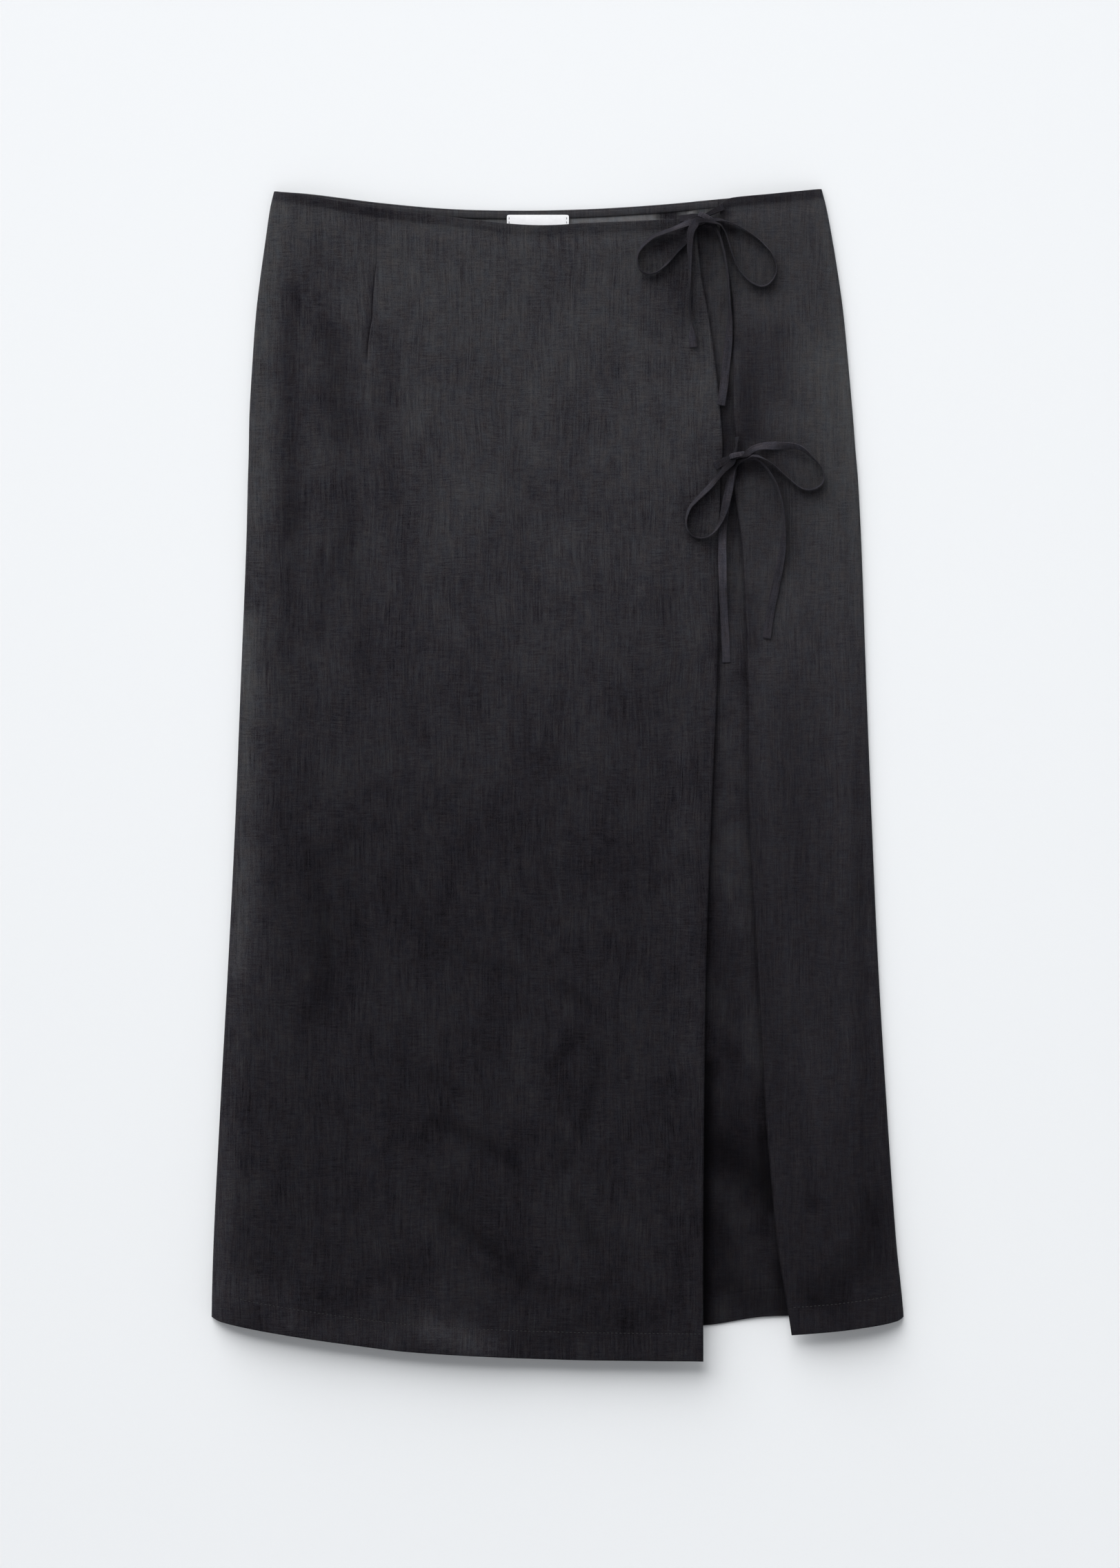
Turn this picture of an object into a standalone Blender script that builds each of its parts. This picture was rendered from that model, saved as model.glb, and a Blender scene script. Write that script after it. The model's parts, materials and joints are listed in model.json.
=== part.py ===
"""Linen wrap skirt (sarong), laid flat on a surface.

A back panel lies under a wide front and a narrow front, which leave a slit
between them. A binding and a blank label are sewn inside the back waist, and
two bows of narrow tie tape hold the fronts together.

Metres, +Z up, +Y towards the waist. The origin is on the surface, under the
middle of the skirt's outline. Tables are in millimetres.
"""

import math
from collections import namedtuple

import bpy
from mathutils import Vector

MM = 0.001

# Walls. Real linen is thinner; a solid needs a wall that tools can hold.
CLOTH = 1.2 * MM
TAPE = 1.0 * MM
GAP = 0.3 * MM  # clear space between pieces that are sewn to or lie on each other

TIE_WIDTH = 6.0 * MM
BINDING_WIDTH = 6.0 * MM
LABEL_WIDTH = 45.0 * MM
LABEL_DEPTH = 11.0 * MM
LABEL_MIDDLE = -14.3 * MM  # its place along the back waist
LABEL_DROP = 3.4 * MM  # from the back's waist edge down to the label
LABEL_CORNER = 0.4 * MM
BINDING_START = -196.0 * MM
BINDING_END = 116.5 * MM  # just short of where the narrow front covers it
BINDING_TUCK = 1.2 * MM  # how far it goes under the wide front's edge

SIDE_ROLL = 9.0 * MM  # how far in from a side fold the front takes to rise
LIP_HEIGHT = 0.5 * MM  # the fronts' waist edges roll up by this much
LIP_REACH = 4.0 * MM
HOLLOW_DEPTH = 0.9 * MM  # the shaded hollow just below the rolled edge
HOLLOW_DROP = 10.0 * MM
HOLLOW_REACH = 5.0 * MM
LEAST_RISE = 0.15 * MM
SIDE_CROWDING = 0.55  # how closely a panel's points crowd towards its side edges
END_CROWDING = 0.6  # and towards its hem and waist
PLACING_ROUNDS = 6  # an edge's place depends on the height along it, and the other way round

ROUTE_STEP = 3.0 * MM  # spacing of the points along a tie
CURVE_PIECES = 12  # straight pieces between two route points, before they are spaced evenly
RING = 8  # directions in which the cloth around a point is felt for
KNOT_CLEARANCE = 5.2 * MM  # ties stop this far from the middle of their knot
SETTLE = 2  # points on each side over which a tie's height is evened out

COLLECTION = "sarong"

# The skirt from hem to waist: the side folds, the two edges of the slit and
# how far the fronts stand off the back.
Level = namedtuple("Level", "y left right wide_edge narrow_edge loft")
LEVELS = (
    Level(-425, -251.3, 251.3, 105.5, 172.0, 12.0),
    Level(-394, -251.3, 251.3, 105.5, 167.5, 11.2),
    Level(-338, -249.8, 245.8, 105.5, 158.8, 9.2),
    Level(-238, -244.8, 238.8, 106.3, 150.3, 6.4),
    Level(-138, -239.3, 232.8, 107.8, 144.8, 4.4),
    Level(-38, -234.3, 228.3, 111.2, 138.8, 3.0),
    Level(62, -230.3, 224.3, 115.6, 137.8, 2.3),
    Level(162, -226.3, 220.8, 117.3, 133.8, 2.1),
    Level(212, -225.0, 218.3, 118.3, 127.5, 2.1),
    Level(236, -224.3, 216.3, 119.8, 129.8, 2.1),
    Level(262, -223.8, 214.3, 118.3, 127.3, 2.1),
    Level(312, -220.8, 209.8, 112.8, 127.3, 2.2),
    Level(337, -218.8, 207.3, 108.8, 127.3, 2.3),
    Level(362, -215.8, 203.8, 104.3, 124.0, 2.4),
    Level(387, -212.3, 199.8, 101.3, 118.5, 2.6),
    Level(411, -208.8, 195.3, 100.8, 117.8, 2.7),
    Level(425, -205.5, 191.8, 100.6, 118.5, 2.7),
)

# Waist and hem edges, from left to right.
Edge = namedtuple("Edge", "x y")
BACK_WAIST = (
    Edge(-206, 423.4),
    Edge(-179, 421.3),
    Edge(-129, 415.0),
    Edge(-79, 410.6),
    Edge(-29, 409.4),
    Edge(21, 410.4),
    Edge(71, 413.4),
    Edge(121, 418.0),
    Edge(192, 425.0),
)
WIDE_WAIST = (
    Edge(-206, 423.4),
    Edge(-179, 419.4),
    Edge(-129, 410.6),
    Edge(-79, 404.5),
    Edge(-37, 399.6),
    Edge(-9, 398.3),
    Edge(21, 399.9),
    Edge(71, 402.0),
    Edge(102, 403.6),
)
NARROW_WAIST = (
    Edge(117, 412.0),
    Edge(122, 416.6),
    Edge(128, 418.5),
    Edge(156, 421.2),
    Edge(192, 425.0),
)
BACK_HEM = (
    Edge(-252, -394.0),
    Edge(-150, -401.0),
    Edge(0, -403.5),
    Edge(107, -400.0),
    Edge(152, -393.6),
    Edge(252, -393.5),
)
WIDE_HEM = (
    Edge(-252, -393.6),
    Edge(-244, -397.0),
    Edge(-204, -405.0),
    Edge(-154, -412.5),
    Edge(-104, -418.5),
    Edge(-4, -423.5),
    Edge(106, -425.0),
)
NARROW_HEM = (
    Edge(166, -406.3),
    Edge(196, -404.0),
    Edge(221, -401.0),
    Edge(246, -396.6),
    Edge(252, -393.6),
)

# The largest folds: soft ridges (height above 0) and troughs (below 0) along a line.
Fold = namedtuple("Fold", "x1 y1 x2 y2 reach height")
WIDE_FOLDS = (
    Fold(-177, 391, -134, 61, 16, -0.9),
    Fold(-127, 345, -129, 295, 12, 0.5),
    Fold(-184, -38, -165, -190, 18, -1.1),
    Fold(-60, 250, -20, -60, 30, 0.5),
    Fold(40, 120, 60, -200, 26, 0.5),
    Fold(30, -260, 10, -330, 14, 0.6),
    Fold(-40, -356, 31, -366, 12, 0.6),
    Fold(-14, -411, 76, -393, 12, -0.9),
    Fold(-95, -405, -50, -415, 14, 0.6),
)
NARROW_FOLDS = (
    Fold(209, 86, 211, -88, 9, 0.8),
    Fold(160, 330, 175, 120, 12, 0.5),
    Fold(227, -300, 196, -352, 12, 0.6),
    Fold(214, -330, 205, -385, 12, -0.7),
)

# A place on a tie that is already laid, which later ties rest on.
LaidTape = namedtuple("LaidTape", "x y reach top")

# Routes of the ties: lift is the space below the tape, turn is how far it is
# tipped from lying flat towards standing on its edge.
Point = namedtuple("Point", "x y lift turn")
WAIST_LEAD_LEFT = (
    Point(88.0, 402.8, 0.2, 150),
    Point(94.2, 403.5, 0.3, 145),
    Point(100.8, 404.2, 0.3, 140),
)
WAIST_LEAD_RIGHT = (
    Point(120.2, 411.2, 0.2, 30),
    Point(116.2, 409.2, 0.2, 40),
    Point(111.5, 406.8, 0.3, 40),
)
WAIST_LOOP_LEFT = (
    Point(100.8, 401.8, 0.4, 10),
    Point(97.5, 400.5, 0.6, 18),
    Point(93.2, 398.8, 0.9, 35),
    Point(88.5, 396.8, 0.9, 52),
    Point(82.5, 394.5, 0.6, 56),
    Point(75.2, 392.0, 0.4, 57),
    Point(69.2, 389.5, 0.3, 59),
    Point(64.2, 385.5, 0.2, 63),
    Point(60.5, 381.5, 0.2, 70),
    Point(58.2, 377.5, 0.2, 78),
    Point(57.6, 373.0, 0.2, 84),
    Point(58.5, 368.2, 0.2, 86),
    Point(61.2, 364.2, 0.2, 84),
    Point(65.8, 362.2, 0.2, 84),
    Point(70.8, 363.2, 0.2, 88),
    Point(74.5, 365.8, 0.2, 96),
    Point(78.8, 369.8, 0.2, 106),
    Point(82.5, 374.2, 0.2, 114),
    Point(86.2, 379.0, 0.2, 120),
    Point(90.0, 383.5, 0.2, 132),
    Point(93.2, 387.5, 0.2, 150),
    Point(95.8, 391.8, 0.2, 165),
    Point(98.2, 396.5, 0.2, 172),
)
WAIST_LOOP_RIGHT = (
    Point(114.2, 401.8, 0.6, 130),
    Point(117.8, 401.8, 0.9, 110),
    Point(122.2, 400.5, 1.2, 98),
    Point(126.8, 399.0, 0.9, 98),
    Point(132.5, 396.4, 0.6, 98),
    Point(138.2, 393.0, 0.4, 98),
    Point(144.2, 389.0, 0.3, 98),
    Point(149.2, 384.6, 0.2, 97),
    Point(153.8, 379.5, 0.2, 96),
    Point(156.8, 374.2, 0.2, 95),
    Point(158.5, 368.5, 0.2, 92),
    Point(158.2, 363.2, 0.2, 88),
    Point(156.0, 358.6, 0.2, 82),
    Point(152.2, 355.0, 0.2, 78),
    Point(147.8, 353.8, 0.2, 76),
    Point(142.8, 355.2, 0.2, 76),
    Point(138.2, 358.2, 0.2, 77),
    Point(134.0, 362.6, 0.2, 79),
    Point(131.0, 367.0, 0.2, 80),
    Point(128.0, 373.6, 0.2, 81),
    Point(125.5, 381.0, 0.2, 82),
    Point(123.0, 389.0, 0.2, 82),
    Point(120.2, 395.0, 0.2, 80),
    Point(115.8, 399.2, 0.2, 60),
)
WAIST_TAIL_LEFT = (
    Point(101.8, 400.5, 0.2, 10),
    Point(99.0, 397.2, 0.2, 12),
    Point(97.0, 394.0, 0.2, 20),
    Point(96.0, 390.0, 0.2, 32),
    Point(95.8, 385.5, 0.2, 46),
    Point(95.6, 380.0, 0.2, 54),
    Point(95.8, 374.5, 0.2, 62),
    Point(95.9, 368.5, 0.2, 72),
    Point(96.1, 362.5, 0.2, 82),
    Point(96.1, 356.5, 0.2, 88),
    Point(95.9, 350.5, 0.2, 94),
    Point(95.6, 344.5, 0.2, 104),
    Point(95.6, 339.0, 0.2, 110),
    Point(96.1, 333.5, 0.2, 104),
    Point(96.8, 327.5, 0.2, 92),
    Point(97.2, 321.5, 0.2, 70),
    Point(97.8, 316.0, 0.2, 45),
    Point(98.5, 309.5, 0.2, 25),
)
WAIST_TAIL_RIGHT = (
    Point(111.2, 399.5, 0.2, 40),
    Point(114.5, 395.8, 0.2, 66),
    Point(117.0, 391.2, 0.2, 80),
    Point(118.5, 386.8, 0.2, 81),
    Point(119.8, 382.0, 0.2, 81),
    Point(121.0, 376.5, 0.2, 81),
    Point(122.0, 371.0, 0.2, 81),
    Point(122.9, 365.0, 0.2, 81),
    Point(123.5, 359.0, 0.2, 80),
    Point(124.0, 351.5, 0.2, 79),
    Point(124.4, 344.5, 0.2, 76),
    Point(124.8, 337.5, 0.2, 68),
    Point(124.9, 330.5, 0.2, 55),
    Point(124.6, 323.5, 0.3, 40),
    Point(124.1, 315.5, 0.4, 24),
    Point(123.2, 305.5, 0.6, 10),
    Point(122.1, 294.5, 0.8, 2),
    Point(120.9, 283.5, 1.0, 0),
    Point(119.5, 274.5, 1.0, 0),
    Point(118.5, 267.5, 1.0, 0),
)
HIP_LEAD_LEFT = (
    Point(113.8, 223.2, 0.2, 0),
    Point(119.2, 226.2, 0.3, -20),
    Point(124.8, 228.9, 0.4, -45),
)
HIP_LEAD_RIGHT = (
    Point(130.0, 244.5, 0.2, 60),
    Point(129.8, 240.5, 0.3, 74),
    Point(129.5, 236.5, 0.4, 76),
)
HIP_LOOP_LEFT = (
    Point(127.0, 227.5, 0.3, 15),
    Point(123.8, 223.8, 0.6, 32),
    Point(120.2, 220.2, 0.8, 46),
    Point(116.8, 216.2, 0.7, 50),
    Point(113.2, 212.1, 0.5, 50),
    Point(109.8, 208.0, 0.3, 50),
    Point(104.8, 203.0, 0.2, 56),
    Point(99.8, 198.0, 0.2, 62),
    Point(96.4, 194.0, 0.2, 68),
    Point(94.2, 189.5, 0.2, 75),
    Point(93.2, 184.5, 0.2, 82),
    Point(93.4, 179.8, 0.2, 85),
    Point(95.1, 175.5, 0.2, 86),
    Point(98.5, 172.5, 0.2, 86),
    Point(102.8, 171.2, 0.2, 87),
    Point(107.5, 171.7, 0.2, 90),
    Point(111.8, 174.0, 0.2, 94),
    Point(115.4, 178.0, 0.2, 102),
    Point(118.8, 184.0, 0.3, 116),
    Point(121.5, 191.5, 0.4, 128),
    Point(123.2, 198.8, 0.4, 136),
    Point(124.6, 205.8, 0.4, 138),
    Point(125.4, 212.5, 0.3, 140),
    Point(126.0, 218.5, 0.2, 152),
    Point(127.5, 223.5, 0.2, 165),
)
HIP_LOOP_RIGHT = (
    Point(136.2, 231.5, 1.2, -30),
    Point(139.8, 234.2, 1.2, -35),
    Point(144.0, 236.4, 1.0, -35),
    Point(148.8, 237.6, 0.8, -28),
    Point(153.8, 238.1, 0.6, -10),
    Point(160.8, 238.1, 0.4, 22),
    Point(167.8, 238.1, 0.3, 42),
    Point(173.2, 237.5, 0.2, 54),
    Point(177.8, 235.8, 0.2, 66),
    Point(181.2, 233.0, 0.2, 76),
    Point(184.8, 229.5, 0.2, 84),
    Point(188.2, 226.0, 0.2, 88),
    Point(191.2, 222.2, 0.2, 90),
    Point(193.0, 217.5, 0.2, 90),
    Point(192.8, 213.0, 0.2, 88),
    Point(190.8, 209.8, 0.2, 84),
    Point(187.2, 207.4, 0.2, 80),
    Point(182.5, 206.2, 0.2, 78),
    Point(177.5, 207.1, 0.2, 79),
    Point(172.8, 210.0, 0.2, 82),
    Point(167.8, 214.2, 0.2, 83),
    Point(162.9, 218.5, 0.2, 84),
    Point(158.0, 223.0, 0.3, 84),
    Point(153.0, 226.5, 0.5, 84),
    Point(148.2, 228.9, 0.6, 80),
    Point(144.0, 230.4, 0.6, 70),
    Point(138.8, 231.0, 0.4, 40),
)
HIP_TAIL_LEFT = (
    Point(128.5, 224.5, 0.2, 20),
    Point(126.5, 217.0, 0.2, 12),
    Point(124.5, 207.5, 0.2, 5),
    Point(122.2, 196.5, 0.2, 0),
    Point(120.5, 186.5, 0.2, 0),
    Point(119.8, 176.5, 0.2, 0),
    Point(119.5, 166.5, 0.2, 0),
    Point(119.5, 155.5, 0.2, 0),
    Point(119.8, 143.5, 0.2, 0),
    Point(120.1, 131.0, 0.2, 0),
    Point(120.7, 118.5, 0.2, 0),
    Point(121.4, 105.5, 0.2, 0),
    Point(122.1, 93.0, 0.2, 0),
    Point(122.5, 81.0, 0.2, 0),
)
HIP_TAIL_RIGHT = (
    Point(134.8, 229.2, 0.2, 20),
    Point(138.2, 229.5, 0.3, 50),
    Point(141.8, 229.2, 0.4, 72),
    Point(145.2, 228.0, 0.4, 82),
    Point(148.9, 224.8, 0.3, 82),
    Point(152.4, 220.5, 0.2, 82),
    Point(155.2, 216.2, 0.2, 82),
    Point(158.0, 211.2, 0.2, 83),
    Point(160.1, 206.2, 0.2, 83),
    Point(161.5, 201.2, 0.2, 83),
    Point(162.9, 195.5, 0.2, 83),
    Point(163.9, 188.8, 0.2, 83),
    Point(164.2, 182.0, 0.2, 83),
    Point(164.1, 175.5, 0.2, 82),
    Point(163.6, 168.5, 0.2, 80),
    Point(162.8, 161.5, 0.2, 76),
    Point(161.6, 154.5, 0.2, 66),
    Point(160.2, 147.0, 0.2, 48),
    Point(158.6, 139.0, 0.2, 26),
    Point(157.0, 131.0, 0.2, 8),
    Point(155.0, 121.5, 0.2, 0),
    Point(153.1, 110.0, 0.2, 0),
    Point(151.6, 98.5, 0.2, 0),
)

# Knots: middle, length along the turn, width, height, turn in plan.
Knot = namedtuple("Knot", "name x y length width height turn")
KNOTS = (
    Knot("waist_knot", 107.3, 403.1, 11.0, 6.0, 5.4, -27),
    Knot("hip_knot", 130.3, 230.8, 11.0, 6.0, 5.4, 11),
)

# In the order that they are laid, each on what is already there.
TIES = (
    ("waist_lead_left", WAIST_LEAD_LEFT),
    ("waist_lead_right", WAIST_LEAD_RIGHT),
    ("waist_loop_left", WAIST_LOOP_LEFT),
    ("waist_tail_left", WAIST_TAIL_LEFT),
    ("waist_tail_right", WAIST_TAIL_RIGHT),
    ("waist_loop_right", WAIST_LOOP_RIGHT),
    ("hip_lead_left", HIP_LEAD_LEFT),
    ("hip_lead_right", HIP_LEAD_RIGHT),
    ("hip_tail_left", HIP_TAIL_LEFT),
    ("hip_tail_right", HIP_TAIL_RIGHT),
    ("hip_loop_left", HIP_LOOP_LEFT),
    ("hip_loop_right", HIP_LOOP_RIGHT),
)

# Linear colours and roughness.
Finish = namedtuple("Finish", "color roughness")
LINEN = Finish((0.031, 0.030, 0.034), 0.88)
TIE_LINEN = Finish((0.034, 0.033, 0.037), 0.86)
WHITE_TAPE = Finish((0.86, 0.86, 0.87), 0.7)


# --- smooth tables -----------------------------------------------------------


def column(rows, key, name, at):
    """A column's smooth value where the key column reaches a place, all in metres."""
    at = at / MM
    places = [getattr(row, key) for row in rows]
    values = [getattr(row, name) for row in rows]
    if at <= places[0]:
        return values[0] * MM
    if at >= places[-1]:
        return values[-1] * MM
    i = max(n for n, place in enumerate(places) if place <= at)
    span = places[i + 1] - places[i]
    t = (at - places[i]) / span

    def slope(n):
        low, high = max(n - 1, 0), min(n + 1, len(rows) - 1)
        return (values[high] - values[low]) / (places[high] - places[low]) * span

    value = (
        values[i] * (2 * t**3 - 3 * t**2 + 1)
        + slope(i) * (t**3 - 2 * t**2 + t)
        + values[i + 1] * (3 * t**2 - 2 * t**3)
        + slope(i + 1) * (t**3 - t**2)
    )
    return value * MM


def level(name, y):
    return column(LEVELS, "y", name, y)


def edge(rows, x):
    return column(rows, "x", "y", x)


# --- the lie of the cloth ----------------------------------------------------


def folds_at(folds, x, y):
    """The sum of the soft ridges and troughs at a point."""
    total = 0.0
    for fold in folds:
        start = Vector((fold.x1, fold.y1)) * MM
        run = Vector((fold.x2, fold.y2)) * MM - start
        t = (Vector((x, y)) - start).dot(run) / run.length_squared
        nearest = start + run * min(max(t, 0.0), 1.0)
        away = (Vector((x, y)) - nearest).length / (fold.reach * MM)
        total += fold.height * MM * math.exp(-away * away)
    return total


def front_rise(folds, waist, from_side, x, y):
    """How far a front's underside is above the back, less the gap that is always there."""
    below = edge(waist, x) - y
    lip = LIP_HEIGHT * math.exp(-((below / LIP_REACH) ** 2))
    hollow = HOLLOW_DEPTH * math.exp(-(((below - HOLLOW_DROP) / HOLLOW_REACH) ** 2))
    rolled = 1.0 - math.exp(-max(from_side, 0.0) / SIDE_ROLL)
    rise = rolled * (level("loft", y) + lip - hollow + folds_at(folds, x, y))
    return max(rise, LEAST_RISE * rolled)


def wide_rise(x, y):
    return front_rise(WIDE_FOLDS, WIDE_WAIST, x - level("left", y), x, y)


def narrow_rise(x, y):
    return front_rise(NARROW_FOLDS, NARROW_WAIST, level("right", y) - x, x, y)


def cloth_top(x, y):
    """The height of the topmost cloth at a point."""
    front = CLOTH + GAP + CLOTH
    if x <= level("wide_edge", y) and y <= edge(WIDE_WAIST, x):
        return front + wide_rise(x, y)
    if x >= level("narrow_edge", y) and y <= edge(NARROW_WAIST, x):
        return front + narrow_rise(x, y)
    return CLOTH + GAP + TAPE if y > edge(BACK_WAIST, x) - BINDING_WIDTH else CLOTH


def bed(x, y, reach, laid_tapes):
    """The highest cloth or tape within reach of a point, which a tape there rests on."""
    around = [(0.0, 0.0)]
    for step in range(RING):
        angle = math.tau * step / RING
        around.append((reach * math.cos(angle), reach * math.sin(angle)))
    tops = [cloth_top(x + dx, y + dy) for dx, dy in around]
    for tape in laid_tapes:
        if math.hypot(tape.x - x, tape.y - y) < tape.reach + reach:
            tops.append(tape.top)
    return max(tops)


# --- making pieces -----------------------------------------------------------


def material(name, finish):
    made = bpy.data.materials.new(name)
    made.use_nodes = True
    shader = made.node_tree.nodes["Principled BSDF"]
    shader.inputs["Base Color"].default_value = (*finish.color, 1.0)
    shader.inputs["Roughness"].default_value = finish.roughness
    shader.inputs["Metallic"].default_value = 0.0
    made.diffuse_color = (*finish.color, 1.0)
    return made


def add_to_part(obj, name, finish):
    """Names the object, gives it its material and moves it to the part's collection."""
    obj.name = name
    obj.data.name = name
    obj.data.materials.clear()
    obj.data.materials.append(finish)
    for held_by in list(obj.users_collection):
        held_by.objects.unlink(obj)
    bpy.data.collections[COLLECTION].objects.link(obj)
    return obj


def cloth_sheet(name, columns, rows, place, wall, finish):
    """A grid whose points a function places, from (0, 0) to (1, 1), thickened upwards."""
    bpy.ops.mesh.primitive_grid_add(
        x_subdivisions=columns, y_subdivisions=rows, size=1.0, location=(0, 0, 0)
    )
    sheet = add_to_part(bpy.context.object, name, finish)
    for vertex in sheet.data.vertices:
        vertex.co = place(vertex.co.x + 0.5, vertex.co.y + 0.5)
    thicken = sheet.modifiers.new("wall", "SOLIDIFY")
    thicken.thickness = wall
    thicken.offset = 1.0
    sheet.data.shade_smooth()
    return sheet


def closer_at_ends(share, amount):
    """Crowds evenly spaced shares of 0 to 1 towards both ends."""
    return share - amount * math.sin(math.tau * share) / math.tau


def panel(name, left, right, hem, waist, underside, columns, rows, finish):
    """A panel of the skirt between its two long edges, its hem and its waist."""

    def place(across, along):
        across = closer_at_ends(across, SIDE_CROWDING)
        along = closer_at_ends(along, END_CROWDING)
        x, y = 0.0, 0.0
        for _ in range(PLACING_ROUNDS):
            x = left(y) + (right(y) - left(y)) * across
            y = edge(hem, x) + (edge(waist, x) - edge(hem, x)) * along
        return x, y, underside(x, y)

    return cloth_sheet(name, columns, rows, place, CLOTH, finish)


def panels(finish):
    def side(name):
        return lambda y: level(name, y)

    panel(
        "back_panel",
        side("left"),
        side("right"),
        BACK_HEM,
        BACK_WAIST,
        lambda x, y: 0.0,
        14,
        16,
        finish,
    )
    panel(
        "wide_front",
        side("left"),
        side("wide_edge"),
        WIDE_HEM,
        WIDE_WAIST,
        lambda x, y: CLOTH + GAP + wide_rise(x, y),
        22,
        36,
        finish,
    )
    panel(
        "narrow_front",
        side("narrow_edge"),
        side("right"),
        NARROW_HEM,
        NARROW_WAIST,
        lambda x, y: CLOTH + GAP + narrow_rise(x, y),
        8,
        28,
        finish,
    )


def waist_binding(finish):
    """The strip along the inside of the back waist, up to where the narrow front covers it."""

    def place(across, along):
        x = BINDING_START + (BINDING_END - BINDING_START) * across
        top = edge(BACK_WAIST, x) - GAP
        open_to = min(BINDING_WIDTH, top - edge(WIDE_WAIST, x) + BINDING_TUCK)
        return x, top - open_to * (1 - along), CLOTH + GAP

    return cloth_sheet("back_waist_binding", 20, 1, place, TAPE, finish)


def label(finish):
    """A blank tape label on the binding, tucked behind the wide front's edge."""
    top = edge(BACK_WAIST, LABEL_MIDDLE) - LABEL_DROP
    underside = CLOTH + GAP + TAPE + GAP
    middle = (LABEL_MIDDLE, top - LABEL_DEPTH / 2, underside + TAPE / 2)
    bpy.ops.mesh.primitive_cube_add(size=1.0, location=middle)
    tab = add_to_part(bpy.context.object, "label", finish)
    tab.scale = (LABEL_WIDTH, LABEL_DEPTH, TAPE)
    bpy.ops.object.transform_apply(location=False, rotation=False, scale=True)
    corners = tab.modifiers.new("corners", "BEVEL")
    corners.width = LABEL_CORNER
    corners.segments = 2
    corners.affect = "VERTICES"
    return tab


def smooth_route(points):
    """Evenly spaced (x, y, lift, turn) along a smooth curve through a route's points."""
    rows = [Vector((p.x * MM, p.y * MM, p.lift * MM, math.radians(p.turn))) for p in points]
    padded = [rows[0] * 2 - rows[1], *rows, rows[-1] * 2 - rows[-2]]
    fine = []
    for before, start, end, after in zip(padded, padded[1:], padded[2:], padded[3:]):
        for n in range(CURVE_PIECES):
            t = n / CURVE_PIECES
            fine.append(
                0.5
                * (
                    start * 2
                    + (end - before) * t
                    + (before * 2 - start * 5 + end * 4 - after) * t**2
                    + (start * 3 - before - end * 3 + after) * t**3
                )
            )
    fine.append(rows[-1])
    lengths = [0.0]
    for here, there in zip(fine, fine[1:]):
        lengths.append(lengths[-1] + (there.xy - here.xy).length)
    count = max(2, round(lengths[-1] / ROUTE_STEP))
    spaced = []
    for n in range(count + 1):
        target = lengths[-1] * n / count
        i = min(max(k for k, done in enumerate(lengths) if done <= target), len(fine) - 2)
        share = (target - lengths[i]) / max(lengths[i + 1] - lengths[i], 1e-9)
        spaced.append(fine[i].lerp(fine[i + 1], min(share, 1.0)))
    return spaced


def spread(point):
    """Half the tape's reach sideways and upwards, as it is tipped at a point."""
    lying, standing = abs(math.cos(point.w)), abs(math.sin(point.w))
    return (
        TIE_WIDTH / 2 * lying + TAPE / 2 * standing,
        TIE_WIDTH / 2 * standing + TAPE / 2 * lying,
    )


def lay(route, laid_tapes):
    """The height of the tape's middle at each point, resting on what is laid before it."""
    beds = [bed(p.x, p.y, spread(p)[0] + GAP, laid_tapes) for p in route]

    def near(values, n):
        return values[max(n - SETTLE, 0) : n + SETTLE + 1]

    highest = [max(near(beds, n)) for n in range(len(beds))]
    evened = [sum(near(highest, n)) / len(near(highest, n)) for n in range(len(beds))]
    heights = []
    for point, rest in zip(route, evened):
        heights.append(rest + GAP + point.z + spread(point)[1])
    for point, height in zip(route, heights):
        sideways, upwards = spread(point)
        laid_tapes.append(LaidTape(point.x, point.y, sideways + GAP, height + upwards))
    return heights


def tape_profile():
    """The tape's cross-section, a guide that the ties are swept with."""
    curve = bpy.data.curves.new("tape_profile", "CURVE")
    curve.dimensions = "2D"
    outline = curve.splines.new("POLY")
    outline.points.add(3)
    half_width, half_wall = TIE_WIDTH / 2, TAPE / 2
    corners = ((-1, 1), (1, 1), (1, -1), (-1, -1))
    for point, (across, up) in zip(outline.points, corners):
        point.co = (across * half_width, up * half_wall, 0.0, 1.0)
    outline.use_cyclic_u = True
    guide = bpy.data.objects.new("tape_profile", curve)
    bpy.data.collections["guides"].objects.link(guide)
    guide.hide_render = True
    guide.display_type = "WIRE"
    return guide


def tie(name, points, profile, laid_tapes, finish):
    """One stretch of tie tape, stopping short of the knots."""
    knots = [Vector((knot.x, knot.y)) * MM for knot in KNOTS]
    route = [
        p
        for p in smooth_route(points)
        if all((p.xy - middle).length > KNOT_CLEARANCE for middle in knots)
    ]
    curve = bpy.data.curves.new(name, "CURVE")
    curve.dimensions = "3D"
    curve.twist_mode = "Z_UP"
    curve.bevel_mode = "OBJECT"
    curve.bevel_object = profile
    curve.use_fill_caps = True
    spline = curve.splines.new("POLY")
    spline.points.add(len(route) - 1)
    for point, place, height in zip(spline.points, route, lay(route, laid_tapes)):
        point.co = (place.x, place.y, height, 1.0)
        point.tilt = place.w
    made = bpy.data.objects.new(name, curve)
    bpy.context.scene.collection.objects.link(made)
    return add_to_part(made, name, finish)


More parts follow.
